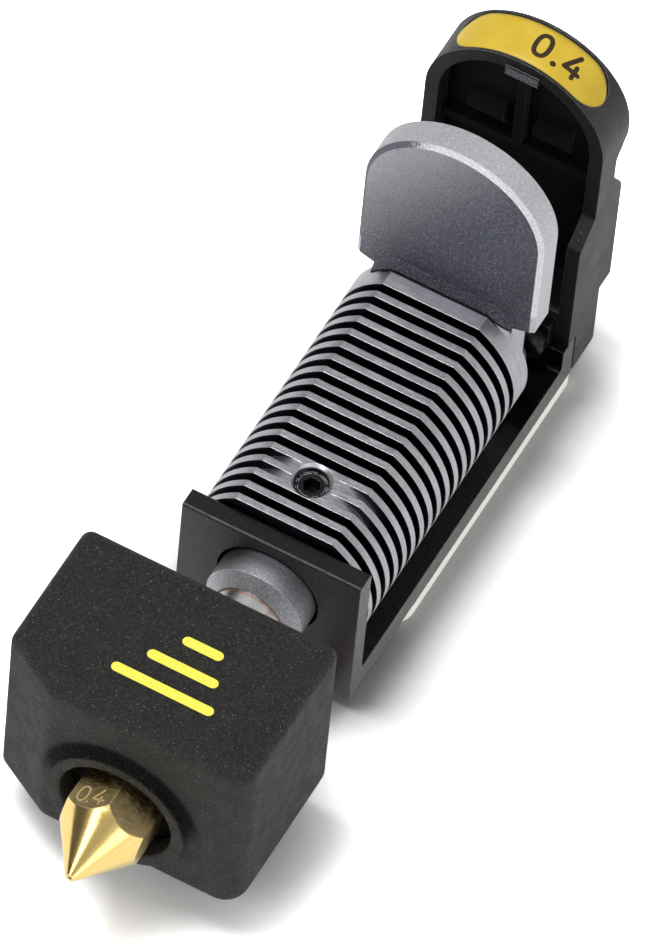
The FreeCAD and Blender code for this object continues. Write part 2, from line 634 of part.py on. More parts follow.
def heatsink_section(level, grow):
    """Closed wire: the heatsink's outline above its axis, grown outwards, at one y."""
    radius = number("fin_radius") + grow
    half = math.sqrt(radius ** 2 - (number("flat_height") + grow) ** 2)
    top = number(FLAT_TOP) + grow
    axis = number("axis_height")
    bottom = number("plate_shoulder - plate_cut")
    side = math.sqrt(radius ** 2 - (bottom - axis) ** 2)
    lean = (math.atan2(top - axis, half) + math.atan2(bottom - axis, side)) / 2
    edges = []
    for sign in (1, -1):
        middle = Vector(sign * radius * math.cos(lean), level, axis + radius * math.sin(lean))
        edges.append(Part.Arc(Vector(sign * side, level, bottom), middle,
                              Vector(sign * half, level, top)).toShape())
    edges.append(Part.makeLine(Vector(half, level, top), Vector(-half, level, top)))
    edges.append(Part.makeLine(Vector(side, level, bottom), Vector(-side, level, bottom)))
    return Part.Wire(Part.sortEdges(edges)[0])


def make_plate_lip():
    """The plate's foot on top of the heatsink, tapering forwards to nothing."""
    rear, grow, thinnest = number(END_REAR), number("lip"), number("lip_edge")
    wires = [heatsink_section(rear - grow, thinnest), heatsink_section(rear, grow)]
    flare = doc.addObject("Part::Feature", "plate_lip_flare")
    flare.Shape = Part.makeLoft(wires, True, True)
    stem = box("lip_stem", ("-stem_half", END_FRONT, "axis_height"),
               ("2 * stem_half", "end_thick", "flat_height + 2 * lip"))
    round_part = rod("lip_round", ("0", END_FRONT, "axis_height"), "fin_radius", "end_thick")
    outline = common("lip_outline", [round_part, profile_box("lip_slab")])
    return cut("plate_lip", common("lip_over_stem", [flare, stem]), [outline])


def make_plate_screws():
    return group("plate_screws", [
        pan_screw("plate_screw%d" % i, spot, "plate_thick + plate_screw_bite", "+Y")
        for i, spot in enumerate(plate_screw_places())])


# ---------------------------------------------------------------- handle
def arch(name, start, half, height, depth):
    """A slab along Y, square at the foot, half round at the top."""
    block = box(name + "_block", ("-" + half, start, "-1"), ("2 * " + half, depth, height + " + 1"))
    top = rod(name + "_top", ("0", start, height), half, depth)
    return fuse(name, [block, top])


def make_handle():
    slit = "bracket_length + handle_slit"
    top = "handle_arch_height + handle_half + 1"
    side = sketched_prism("handle_side", "YZ_Plane", [
        (slit, "0"), (slit, "rear_flange_height"), (HANDLE_FRONT, "rear_flange_height"),
        (HANDLE_FRONT, "handle_step - handle_set_back"), (HANDLE_HIGH, "handle_step"),
        (HANDLE_HIGH, top), (HANDLE_REAR, top), (HANDLE_REAR, "cap_bottom"),
        (HANDLE_REAR + " - groove_depth", "groove_high"),
        (HANDLE_REAR + " - groove_depth", "groove_low"),
        (HANDLE_REAR, "body_top"), (HANDLE_REAR, "foot_height"),
        (slit + " + foot_depth", "foot_height"), (slit + " + foot_depth", "0"),
    ], "2 * handle_half", rounds=[("edge_round * 2", [3, 4, 8, 9]), ("edge_round", [7, 10, 11, 13])])
    before = HANDLE_FRONT + " - 1"
    hull = common("handle_hull", [side, arch("handle_arch", before, "handle_half",
                                             "handle_arch_height", "handle_depth + 2")])
    rear_level = number(HANDLE_REAR)
    top_level = number("cap_bottom")
    soft = trimmed("Part::Fillet", "handle_soft", hull, "edge_round",
                   lambda edge: on_plane(edge, 1, rear_level) and edge.BoundBox.ZMax > top_level + 1
                   and edge.BoundBox.ZLength > 0.01)
    inner_half = "(handle_half - handle_wall)"
    cavity_arch = arch("handle_cavity_arch", before, inner_half,
                       "handle_arch_height", "handle_depth - floor_thick + 1")
    over_foot = box("handle_over_foot", ("-handle_half", before, "cavity_bottom"),
                    ("2 * handle_half", "handle_depth + 2", "handle_arch_height + handle_half"))
    cavity = common("handle_cavity", [cavity_arch, over_foot])
    tongue_room = box("handle_tongue_room",
                      ("-tongue_width / 2 - tongue_gap", before, "-1"),
                      ("tongue_width + 2 * tongue_gap", "handle_lap + handle_slit + 1",
                       "tongue_height + tongue_gap + 1"))
    feed = rod("handle_feed", ("0", before, "axis_height"), "feed_radius", "handle_depth + 2")
    shell = cut("handle_shell", soft, [cavity, tongue_room, feed])
    added = [shell, *handle_ribs(), *handle_bosses()]
    holes = [label_solid("handle_label_seat")]
    for i, (x, y, z) in enumerate(handle_screw_places()):
        holes.append(rod("handle_pilot%d" % i, (x, y, z), "small_screw_radius",
                         "rear_flange_thick + handle_screw_bite"))
    return cut("pull_handle", fuse("handle_solid", added), holes)


def handle_ribs():
    """Cross of ribs, two finger rolls and the gate mark, all inside the cap."""
    inner = "(handle_half - handle_wall)"
    front, depth = HANDLE_FLOOR + " - rib_depth", "rib_depth + rib_root"
    top = "(handle_arch_height + handle_half - handle_wall)"
    ribs = [
        box("handle_rib_up", ("-rib_thick / 2", front, "rib_height - rib_thick"),
            ("rib_thick", depth, "%s - rib_height + rib_thick + rib_root" % top)),
        box("handle_rib_across", ("-%s - rib_root" % inner, front, "rib_height - rib_thick"),
            ("2 * %s + 2 * rib_root" % inner, depth, "rib_thick")),
        box("handle_gate", ("gate_shift - gate_width / 2", HANDLE_HIGH + " - gate_proud",
                            top + " - gate_height + gate_root"),
            ("gate_width", "gate_depth", "gate_height")),
    ]
    for i, start in enumerate(("-roll_across - roll_length", "roll_across")):
        ribs.append(rod("handle_roll%d" % i, (start, HANDLE_FLOOR + " + roll_sunk", "roll_height"),
                        "roll_radius", "roll_length", "+X"))
    return ribs


def handle_bosses():
    """Screw bosses that stand on the back of the bracket's tongue."""
    return [rod("handle_boss%d" % i, (x, "bracket_length", z), "boss_radius", "boss_length")
            for i, (x, y, z) in enumerate(handle_screw_places())]


def label_solid(name):
    """Thin curved plate in the top of the cap, its ends well rounded."""
    front = HANDLE_HIGH + " + label_front_margin"
    length = "handle_depth - handle_set_back - label_front_margin - label_rear_margin"
    outer = rod(name + "_outer", ("0", front, "handle_arch_height"),
                "handle_half - label_sunk + label_thick", length)
    inner = rod(name + "_inner", ("0", front + " - 1", "handle_arch_height"),
                "handle_half - label_sunk", length + " + 2")
    skin = cut(name + "_skin", outer, [inner])
    stamp = box(name + "_stamp", ("-label_half", front, "handle_arch_height"),
                ("2 * label_half", length, "handle_half + 1"))
    rounded = trimmed("Part::Fillet", name + "_rounded", stamp, "label_round",
                      lambda edge: edge.BoundBox.ZLength > 1)
    return common(name, [skin, rounded])


def make_handle_screws():
    return group("handle_screws", [
        pan_screw("handle_screw%d" % i, spot, "rear_flange_thick + handle_screw_bite", "-Y")
        for i, spot in enumerate(handle_screw_places())])


# ---------------------------------------------------------------- contact board
def board_blank(name, thick, top):
    body = sketched_prism(name, "XY_Plane", [
        ("-bracket_width / 2", "board_front"), ("bracket_width / 2", "board_front"),
        ("bracket_width / 2", BOARD_REAR), ("-bracket_width / 2", BOARD_REAR),
    ], thick, rounds=[("board_corner", [0, 1]), ("board_corner_rear", [2, 3])])
    return place(body, ("0", "0", "%s - %s / 2" % (top, thick)))


def make_contact_board():
    blank = board_blank("board_blank", "board_thick", "-film_thick")
    notch = box("board_notch", ("-plug_width / 2", "board_front - 1", BOARD_BOTTOM + " - 1"),
                ("plug_width", "plug_depth + 1", "board_thick + 2"))
    return cut("contact_board", blank, [notch, *pad_boxes("board_pad_room")])


def pad_boxes(name):
    return [box("%s%d" % (name, i),
                ("(%d - (pad_count - 1) / 2) * pad_pitch - pad_width / 2" % i,
                 BOARD_REAR + " - pad_set_back", BOARD_BOTTOM),
                ("pad_width", "pad_length", "pad_thick"))
            for i in range(int(number("pad_count")))]


def make_contact_pads():
    return group("contact_pads", pad_boxes("contact_pad"))


def make_board_film():
    return board_blank("board_film", "film_thick", "0")


def make_board_plug():
    return box("lead_plug", ("-plug_width / 2", "board_front", BOARD_BOTTOM),
               ("plug_width", "plug_depth", "board_thick"))


# ---------------------------------------------------------------- leads
def rounded_path(points, radii):
    """Straight runs joined by tangent arcs, one radius per inner point."""
    edges = []
    last = points[0]
    for before, corner, after, radius in zip(points, points[1:], points[2:], radii):
        back = (before - corner).normalize()
        ahead = (after - corner).normalize()
        half_turn = (math.pi - back.getAngle(ahead)) / 2
        reach = radius * math.tan(half_turn)
        start, end = corner + back * reach, corner + ahead * reach
        inwards = (back + ahead).normalize()
        middle = corner + inwards * (radius / math.cos(half_turn) - radius)
        edges.append(Part.LineSegment(last, start).toShape())
        edges.append(Part.Arc(start, middle, end).toShape())
        last = end
    edges.append(Part.LineSegment(last, points[-1]).toShape())
    return Part.Wire(edges)


def lead_tube(name, across, start_height, radius):
    """One insulated lead from the block's rear face, down and along under the bracket."""
    level = -number("lead_level")
    rear = number(BLOCK_REAR)
    corner = rear + number("lead_reach")
    foot = rear + number("lead_fall")
    points = [Vector(across, y, z) for y, z in
              ((rear, start_height), (corner, start_height), (foot, level),
               (number("board_front"), level))]
    radii = (number("lead_bend_top"), number("lead_bend_low"))
    path = rounded_path(points, radii)
    circle = Part.Wire(Part.makeCircle(radius, points[0], Vector(0, 1, 0)))
    tube = doc.addObject("Part::Feature", name)
    tube.Shape = path.makePipe(Part.Face(circle))
    expected = math.pi * radius ** 2 * path.Length
    print("%s length %.1f volume %.3f expected %.3f radii %s" % (
        name, path.Length, tube.Shape.Volume, expected, radii))
    return tube


def lead_pair(name, middle, gap, height, radius):
    tubes = [lead_tube("%s%d" % (name, i), number("%s + %s * %s / 2" % (middle, side, gap)),
                       number(height), number(radius))
             for i, side in enumerate(("-1", "1"))]
    return group(name, tubes)


def make_heater_leads():
    return lead_pair("heater_leads", "-heater_across", "heater_lead_gap",
                     "axis_height + heater_rise", "heater_lead_radius")


def make_sensor_leads():
    return lead_pair("sensor_leads", "sensor_across", "sensor_lead_gap",
                     "axis_height - sensor_drop", "sensor_lead_radius")


def clamp_screw_place():
    return ("0", "clamp_front + clamp_length / 2", BOARD_BOTTOM)


def make_lead_clamp():
    plate = box("clamp_plate", ("-clamp_width / 2", "clamp_front", BOARD_BOTTOM),
                ("clamp_width", "clamp_length", "-1 * " + BOARD_BOTTOM))
    holes = [sunk_hole("clamp_sink", clamp_screw_place(), "clamp_screw_radius",
                       "clamp_head_radius", "clamp_head_height", "4")]
    for middle, gap, radius in (("-heater_across", "heater_lead_gap", "heater_lead_radius"),
                                ("sensor_across", "sensor_lead_gap", "sensor_lead_radius")):
        for side in ("-1", "1"):
            start = ("%s + %s * %s / 2" % (middle, side, gap), "clamp_front - 1", "-lead_level")
            holes.append(rod("clamp_groove", start, radius + " + slip", "clamp_length + 2"))
    return cut("lead_clamp", plate, holes)


def make_clamp_screw():
    return sunk_screw("clamp_screw", clamp_screw_place(), "clamp_screw_radius",
                      "clamp_head_radius", "clamp_head_height", "clamp_bite - " + BOARD_BOTTOM)


# ---------------------------------------------------------------- the nodes
NODES = {
    "bracket": make_bracket,
    "heatsink": make_heatsink,
    "heatsink_screws": make_heatsink_screws,
    "heat_break": make_heat_break,
    "filament_liner": make_liner,
    "set_screw": make_set_screw,
    "nozzle": make_nozzle,
    "heater_block": make_heater_block,
    "heater_cartridge": lambda: rod("heater_cartridge", heater_place(), "heater_radius",
                                    "heater_length", "-Y"),
    "temperature_sensor": lambda: rod("temperature_sensor", sensor_place(), "sensor_radius",
                                      "sensor_length", "-Y"),
    "block_grub_screws": make_grub_screws,
    "silicone_sock": make_sock,
    "locating_plate": make_locating_plate,
    "plate_screws": make_plate_screws,
    "pull_handle": make_handle,
    "handle_screws": make_handle_screws,
    "handle_label": lambda: label_solid("handle_label"),
    "contact_board": make_contact_board,
    "contact_pads": make_contact_pads,
    "board_film": make_board_film,
    "lead_plug": make_board_plug,
    "heater_leads": make_heater_leads,
    "sensor_leads": make_sensor_leads,
    "lead_clamp": make_lead_clamp,
    "clamp_screw": make_clamp_screw,
}


def check_and_write(pieces):
    doc.recompute()
    faults = [item.Name for item in doc.Objects
              if "Invalid" in item.State or "Error" in item.State]
    for node, piece in pieces.items():
        shape = piece.Shape
        if shape.isNull() or not shape.isValid() or not shape.Solids:
            faults.append(node)
    if faults:
        raise RuntimeError("failed objects: " + ", ".join(faults))
    os.makedirs("parts", exist_ok=True)
    for node, piece in pieces.items():
        piece.Shape.exportStep("parts/%s.step" % node)
        limits = piece.Shape.BoundBox
        print("%-20s solids %2d volume %8.2f  x %.2f..%.2f y %.2f..%.2f z %.2f..%.2f" % (
            node, len(piece.Shape.Solids), piece.Shape.Volume, limits.XMin, limits.XMax,
            limits.YMin, limits.YMax, limits.ZMin, limits.ZMax))


def moved_node(node, make):
    """The node's pieces, moved so that the origin is under the middle of the board."""
    whole = doc.addObject("Part::Compound", node + "_node")
    whole.Label = node
    whole.Links = [make()]
    return place(whole, ("0", "-(board_front + %s) / 2" % BOARD_REAR, "board_thick + film_thick"))


check_and_write({node: moved_node(node, make) for node, make in NODES.items()})
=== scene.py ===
import math

import bmesh
import bpy
from mathutils import Matrix, Vector


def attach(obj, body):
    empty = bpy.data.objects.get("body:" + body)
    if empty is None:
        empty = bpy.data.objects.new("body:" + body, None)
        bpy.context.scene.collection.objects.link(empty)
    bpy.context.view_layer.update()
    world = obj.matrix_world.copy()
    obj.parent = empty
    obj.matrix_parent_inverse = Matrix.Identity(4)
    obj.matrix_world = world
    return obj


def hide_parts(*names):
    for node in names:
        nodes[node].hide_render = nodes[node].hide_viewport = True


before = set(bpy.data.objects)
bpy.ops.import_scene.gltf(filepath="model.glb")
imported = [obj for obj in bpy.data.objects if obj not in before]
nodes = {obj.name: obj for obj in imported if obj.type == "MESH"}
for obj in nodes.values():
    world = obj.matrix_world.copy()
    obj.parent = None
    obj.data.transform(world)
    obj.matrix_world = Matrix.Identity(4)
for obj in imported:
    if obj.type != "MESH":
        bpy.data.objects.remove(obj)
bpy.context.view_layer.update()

MM = 0.001

# ---------------------------------------------------------------- places, in millimetres
AXIS_Z = 12.6            # filament axis, along Y at x = 0
FLAT_Z = 20.15           # flat top of the fins
FIN_RADIUS = 9.0
FIN_FRONT = -23.9        # first fin's front
FIN_BACK = 3.3           # last fin's back
ARCH_Z = 31.7            # axis of the handle's round top
LABEL_RADIUS = 9.012
LABEL_FRONT = 17.5
LABEL_BACK = 21.9
LABEL_HALF = 7.3
DIGITS_FOOT = 18.5       # foot of the label's digits, along Y
SOCK_TOP = 25.0
SCREW_Y = -18.75         # set screw's axis, upright at x = 0
SCREW_RADIUS = 1.5
CORE_RADIUS = 4.4        # solid core between the fins
FLANGE_FRONT = -26.1     # bracket's front flange
COLLAR_FRONT = -28.6     # heatsink's blasted collar, in the flange's hole
COLLAR_RADIUS = 4.8
HEATSINK_FRONT = -29.55
PLATE_FRONT = 5.85       # locating plate's front face
LIP_TOP = 21.05          # top of the plate's lip on the heatsink
HANDLE_FRONT = 17.2      # front of the handle's cap
HOLLOW_RADIUS = 7.65     # the handle's open hollow
HOLLOW_BACK = 19.2
GATE_MIDDLE = 0.25       # gate mark in the handle
GATE_HALF = 1.65
GATE_BOTTOM = 38.22
GATE_TOP = 39.52
RING_RADIUS = 6.88       # raised ring round the nozzle
SOCK_FRONT = -53.1
STRIPE_WIDTH = 1.0
HEX_FLAT = 3.8
HEX_TURN = -24.0         # the engraved flat's turn from straight up, in degrees
NUMBER_FOOT = -56.25     # foot of the engraved number, along Y


# ---------------------------------------------------------------- material nodes
class Nodes:
    """Short calls that add nodes to one tree."""

    def __init__(self, tree):
        self.tree = tree

    def add(self, kind, **sockets):
        node = self.tree.nodes.new(kind)
        for name, value in sockets.items():
            self.feed(node.inputs[name.replace("_", " ")], value)
        return node

    def feed(self, socket, value):
        if isinstance(value, bpy.types.NodeSocket):
            self.tree.links.new(value, socket)
        else:
            socket.default_value = value

    def math(self, operation, a, b=0.0):
        node = self.tree.nodes.new("ShaderNodeMath")
        node.operation = operation
        self.feed(node.inputs[0], a)
        self.feed(node.inputs[1], b)
        return node.outputs[0]

    def vector(self, operation, a, b):
        node = self.tree.nodes.new("ShaderNodeVectorMath")
        node.operation = operation
        self.feed(node.inputs[0], a)
        self.feed(node.inputs[1], b)
        return node.outputs["Value" if operation == "DOT_PRODUCT" else "Vector"]

    def most(self, *values):
        largest = values[0]
        for value in values[1:]:
            largest = self.math("MAXIMUM", largest, value)
        return largest

    def product(self, *values):
        total = values[0]
        for value in values[1:]:
            total = self.math("MULTIPLY", total, value)
        return total

    def inverse(self, share):
        return self.math("SUBTRACT", 1.0, share)

    def combine(self, x, y, z):
        return self.add("ShaderNodeCombineXYZ", X=x, Y=y, Z=z).outputs[0]

    def step(self, value, low, high, out_low=0.0, out_high=1.0):
        node = self.tree.nodes.new("ShaderNodeMapRange")
        node.interpolation_type = "SMOOTHSTEP"
        for name, number in (("From Min", low), ("From Max", high), ("To Min", out_low),
                             ("To Max", out_high)):
            node.inputs[name].default_value = number
        self.feed(node.inputs["Value"], value)
        return node.outputs["Result"]

    def blend(self, share, a, b):
        node = self.tree.nodes.new("ShaderNodeMix")
        node.data_type = "RGBA"
        self.feed(node.inputs["Factor"], share)
        self.feed(node.inputs["A"], a)
        self.feed(node.inputs["B"], b)
        return node.outputs["Result"]


class Finish(Nodes):
    """One procedural material. Its lengths are in millimetres."""

    def __init__(self, name, roughness=0.5, metallic=0.0, specular=0.5):
        self.material = bpy.data.materials.new(name)
        self.material.use_nodes = True
        super().__init__(self.material.node_tree)
        self.shader = self.tree.nodes["Principled BSDF"]
        self.shader.inputs["Roughness"].default_value = roughness
        self.shader.inputs["Metallic"].default_value = metallic
        self.shader.inputs["Specular IOR Level"].default_value = specular
        where = self.add("ShaderNodeTexCoord")
        self.place = self.vector("MULTIPLY", where.outputs["Object"], (1000.0, 1000.0, 1000.0))
        self.x, self.y, self.z = self.add("ShaderNodeSeparateXYZ", Vector=self.place).outputs
        facing = self.add("ShaderNodeSeparateXYZ", Vector=where.outputs["Normal"])
        self.nx, self.ny, self.nz = facing.outputs

    def noise(self, scale, detail=2.0, place=None, roughness=0.5):
        return self.add("ShaderNodeTexNoise", Vector=place or self.place, Scale=scale,
                        Detail=detail, Roughness=roughness).outputs["Fac"]

    def bumps(self, layers, edge=None, normal=None):
        """layers: (height, depth in millimetres) pairs, one over the other."""
        if edge:
            bevel = self.add("ShaderNodeBevel", Radius=edge * MM)
            bevel.samples = 6
            normal = bevel.outputs[0]
        for height, depth in layers:
            node = self.add("ShaderNodeBump", Height=height, Distance=depth * MM)
            if normal:
                self.tree.links.new(normal, node.inputs["Normal"])
            normal = node.outputs[0]
        self.tree.links.new(normal, self.shader.inputs["Normal"])

    def edges(self, radius):
        """1 on the object's own edges, 0 away from them."""
        bevel = self.add("ShaderNodeBevel", Radius=radius * MM)
        bevel.samples = 6
        flat = self.add("ShaderNodeNewGeometry").outputs["Normal"]
        return self.step(self.vector("DOT_PRODUCT", bevel.outputs[0], flat), 0.985, 0.86)

    def turned(self):
        """Distance from the filament axis, and the angle round it."""
        rise = self.math("SUBTRACT", self.z, AXIS_Z)
        square = self.math("ADD", self.product(self.x, self.x), self.product(rise, rise))
        return self.math("SQRT", square), self.math("ARCTAN2", self.x, rise)

    def from_screw(self):
        """Distance from the set screw's axis, and how far in front of that axis."""
        away = self.math("SUBTRACT", self.y, SCREW_Y)
        square = self.math("ADD", self.product(self.x, self.x), self.product(away, away))
        return self.math("SQRT", square), away

    def specks(self, scale, size, amount, seed=0.0):
        """Small separate grains: 1 inside each, 0 between them."""
        shifted = self.vector("ADD", self.place, (seed, seed * 1.7, seed * 0.6))
        grains = self.add("ShaderNodeTexVoronoi", Vector=shifted, Scale=scale)
        chosen = self.add("ShaderNodeTexWhiteNoise", Vector=grains.outputs["Position"])
        near = self.step(grains.outputs["Distance"], size, size * 0.4)
        kept = self.step(chosen.outputs["Value"], 1.0 - amount, 1.0 - amount * 0.4)
        return self.product(near, kept)

    def coat(self, base, mask, share, colour):
        """The base colour with another over it where the mask is, as strong as share."""
        return self.blend(self.product(mask, share), base, colour)

    def set(self, socket, value):
        self.feed(self.shader.inputs[socket], value)

    def finish(self, colour, roughness):
        self.set("Base Color", colour)
        self.set("Roughness", roughness)
        return self.material


def rgb(red, green, blue):
    """A colour as the photograph would give it, 0 to 255, made linear."""
    linear = [(c / 255 / 12.92) if c < 10.3 else ((c / 255 + 0.055) / 1.055) ** 2.4
              for c in (red, green, blue)]
    return (*linear, 1.0)


def black_silicone():
    f = Finish("black_silicone", specular=0.4)
    cloud = f.noise(0.16, 3.0)
    grain = f.noise(4.5, 5.0, roughness=0.75)
    dust = f.specks(4.2, 0.34, 0.16)
    fine = f.specks(6.0, 0.42, 0.45, 3.1)
    radius, _ = f.turned()
    # Painted shade: near-black and less shiny in the valley round the raised ring.
    painted_valley_shade = f.product(f.step(radius, RING_RADIUS - 0.43, RING_RADIUS - 0.03),
                       f.step(radius, RING_RADIUS + 1.72, RING_RADIUS + 0.62),
                       f.step(f.y, SOCK_FRONT + 1.5, SOCK_FRONT + 0.7),
                       f.step(f.z, AXIS_Z - 2.0, AXIS_Z + 3.0))
    base = f.blend(cloud, rgb(8, 8, 7), rgb(18, 17, 15))
    base = f.coat(base, f.step(grain, 0.46, 0.66), 0.7, rgb(50, 49, 46))
    # Fuzz grain, lighter and darker on sideways faces: partly real grain, partly painted grazing
    # light.
    fuzz = f.noise(7.5, 3.0, roughness=0.7)
    side = f.step(f.math("ABSOLUTE", f.nx), 0.3, 0.8, 0.35, 0.75)
    base = f.blend(f.product(f.step(fuzz, 0.53, 0.66), side), base, rgb(104, 103, 98))
    base = f.blend(f.product(f.step(fuzz, 0.46, 0.36), side), base, rgb(2, 2, 2))
    base = f.coat(base, fine, 0.6, rgb(92, 90, 85))
    base = f.coat(base, dust, 0.5, rgb(165, 162, 155))
    base = f.coat(base, painted_valley_shade, 0.6, rgb(2, 2, 2))
    f.set("Specular IOR Level", f.step(painted_valley_shade, 0.2, 1.0, 0.4, 0.08))
    f.bumps([(cloud, 0.1), (grain, 0.11), (f.product(fuzz, side), 0.26), (fine, 0.03),
             (dust, 0.03)])
    return f.finish(base, f.step(f.noise(0.5, 3.0), 0.3, 0.7, 0.52, 0.66))


def yellow_print():
    f = Finish("yellow_print", specular=0.4)
    wear = f.noise(5.0, 4.0)
    holes = f.specks(4.0, 0.25, 0.06)
    base = f.blend(f.step(wear, 0.4, 0.8), rgb(255, 246, 92), rgb(240, 224, 74))
    base = f.coat(base, holes, 0.5, rgb(150, 140, 50))
    f.bumps([(wear, 0.015)])
    return f.finish(base, f.step(wear, 0.3, 0.7, 0.5, 0.62))


def brass():
    f = Finish("brass", metallic=1.0)
    radius, angle = f.turned()
    flat = f.step(f.math("ABSOLUTE", f.ny), 0.3, 0.15)
    rings = f.noise(9.0, 3.0, f.combine(radius, f.y, 0.0))
    painted_streaks = f.noise(1.0, 3.0, f.combine(f.product(angle, 7.0), f.product(f.y, 0.12), 0.0))
    scratch = f.noise(5.0, 4.0, f.combine(f.product(f.y, 2.4), angle, f.product(f.z, 0.3)))
    # Random darker patches, and darker towards the sock.
    dark_patches = f.math("ADD", f.product(f.noise(0.9, 4.0), 0.55), f.step(f.y, -55.4, -53.2, 0.0, 0.5))
    # The cone's brass colour, with painted reflection streaks round the axis.
    bright = f.blend(painted_streaks, (1.0, 0.66, 0.20, 1.0), (1.0, 0.82, 0.35, 1.0))
    dull = f.blend(f.step(dark_patches, 0.28, 0.8), (0.98, 0.74, 0.34, 1.0), (0.32, 0.20, 0.07, 1.0))
    dull = f.blend(f.step(scratch, 0.5, 0.64, 0.0, 0.7), dull, (0.9, 0.76, 0.46, 1.0))
    rough_cone = f.step(rings, 0.3, 0.7, 0.13, 0.22)
    rough_flat = f.step(scratch, 0.3, 0.7, 0.3, 0.46)
    rough = f.math("ADD", f.product(rough_cone, f.inverse(flat)), f.product(rough_flat, flat))
    f.bumps([(rings, 0.003), (scratch, 0.004)], edge=0.16)
    return f.finish(f.blend(flat, bright, dull), rough)


def brass_engraving():
    f = Finish("brass_engraving", metallic=0.15)
    cut = f.noise(8.0, 3.0)
    f.bumps([(cut, 0.01)])
    return f.finish(f.blend(cut, rgb(220, 196, 140), rgb(186, 160, 104)),
                    f.step(cut, 0.3, 0.7, 0.2, 0.4))


def satin_aluminium():
    f = Finish("satin_aluminium", metallic=1.0)
    radius, angle = f.turned()
    depth = f.most(f.math("SUBTRACT", f.z, FLAT_Z), f.math("SUBTRACT", radius, FIN_RADIUS))
    wall = f.step(f.math("ABSOLUTE", f.ny), 0.5, 0.8)
    floor = f.step(radius, CORE_RADIUS + 0.8, CORE_RADIUS + 0.5)
    between = f.product(f.step(f.y, FIN_FRONT - 0.1, FIN_FRONT - 0.05),
                        f.step(f.y, FIN_BACK + 0.1, FIN_BACK + 0.02))
    # Painted shade: near-black on the walls and floor between the fins.
    painted_gap_shade = f.product(f.step(depth, -0.005, -0.12), f.most(wall, floor), between)
    collar = f.product(f.step(f.y, FLANGE_FRONT + 1.1, FLANGE_FRONT + 0.7),
                       f.step(radius, COLLAR_RADIUS + 0.8, COLLAR_RADIUS + 0.6))
    lathe = f.noise(7.0, 3.0, f.combine(radius, f.y, f.product(angle, 0.15)))
    mill = f.noise(6.0, 4.0, f.combine(f.product(f.x, 0.12), f.y, f.product(f.z, 0.5)))
    lines = f.math("ADD", f.product(lathe, 0.5), f.product(mill, 0.5))
    grain = f.noise(6.5, 4.0, roughness=0.8)
    texture = f.math("ADD", f.product(lines, f.inverse(collar)), f.product(grain, collar))
    cloud = f.noise(0.35, 3.0)
    pits = f.specks(3.0, 0.16, 0.1)
    metal = f.blend(f.step(texture, 0.35, 0.65), (0.385, 0.39, 0.42, 1.0),
                    (0.55, 0.555, 0.585, 1.0))
    metal = f.coat(metal, f.step(grain, 0.5, 0.75), 0.5, (0.26, 0.26, 0.30, 1.0))
    metal = f.coat(metal, f.step(cloud, 0.42, 0.7), 0.3, (0.30, 0.30, 0.34, 1.0))
    metal = f.blend(f.product(collar, f.step(grain, 0.5, 0.7)), metal, (0.95, 0.96, 0.98, 1.0))
    metal = f.blend(pits, metal, (0.12, 0.12, 0.15, 1.0))
    # Painted shade on the collar beside the flange, deepest on its left.
    shaded = f.product(collar, f.step(f.y, COLLAR_FRONT - 0.3, FLANGE_FRONT - 0.3),
                       f.step(f.x, 4.6, 0.0, 0.35, 1.0))
    metal = f.coat(metal, shaded, 0.8, (0.05, 0.05, 0.06, 1.0))
    # Painted highlight along the fins' front edges.
    edge = f.add("ShaderNodeBevel", Radius=0.07 * MM)
    edge.samples = 6
    lean = f.add("ShaderNodeSeparateXYZ", Vector=edge.outputs[0]).outputs[1]
    glint = f.product(f.step(f.math("ABSOLUTE", f.math("ADD", lean, 0.62)), 0.42, 0.2), between,
                      f.step(depth, -0.3, -0.2))
    metal = f.coat(metal, glint, 0.55, (0.95, 0.95, 0.97, 1.0))
    seam = f.product(f.step(f.y, 4.8, 4.84), f.step(f.y, 4.98, 4.96), f.step(f.z, 19.2, 19.6))
    reach, away = f.from_screw()
    bore = f.product(f.step(reach, SCREW_RADIUS + 0.22, SCREW_RADIUS + 0.16),
                     f.step(f.y, -17.0, -17.05), f.step(f.z, 15.0, 15.2))
    turn = f.math("ADD", f.product(f.z, 12.5), f.math("ARCTAN2", f.x, away))
    thread = f.step(f.math("SINE", turn), -0.3, 0.6)
    metal = f.blend(f.product(bore, thread), metal, (0.05, 0.05, 0.06, 1.0))
    metal = f.coat(metal, seam, 0.9, (0.01, 0.01, 0.02, 1.0))
    base = f.coat(metal, f.product(painted_gap_shade, f.inverse(glint)), 0.96, (0.014, 0.015, 0.032, 1.0))
    f.bumps([(texture, 0.008), (f.product(grain, collar), 0.045), (pits, 0.01)], edge=0.07)
    return f.finish(base, f.step(lines, 0.3, 0.7, 0.3, 0.44))


def block_aluminium():
    f = Finish("block_aluminium", metallic=1.0)
    radius, _ = f.turned()
    # Near-black and rougher on the block's front round the nozzle.
    dark_round_nozzle = f.product(f.step(radius, 9.0, 7.0), f.step(f.y, -50.9, -51.2))
    patch = f.noise(0.8, 4.0)
    fine = f.noise(6.0, 3.0)
    metal = f.blend(patch, (0.52, 0.52, 0.53, 1.0), (0.68, 0.68, 0.69, 1.0))
    near_black = f.blend(patch, (0.008, 0.007, 0.006, 1.0), (0.03, 0.025, 0.02, 1.0))
    base = f.blend(dark_round_nozzle, metal, near_black)
    f.bumps([(fine, 0.01)], edge=0.06)
    return f.finish(base, f.math("ADD", f.step(fine, 0.3, 0.7, 0.3, 0.42), f.product(dark_round_nozzle, 0.35)))


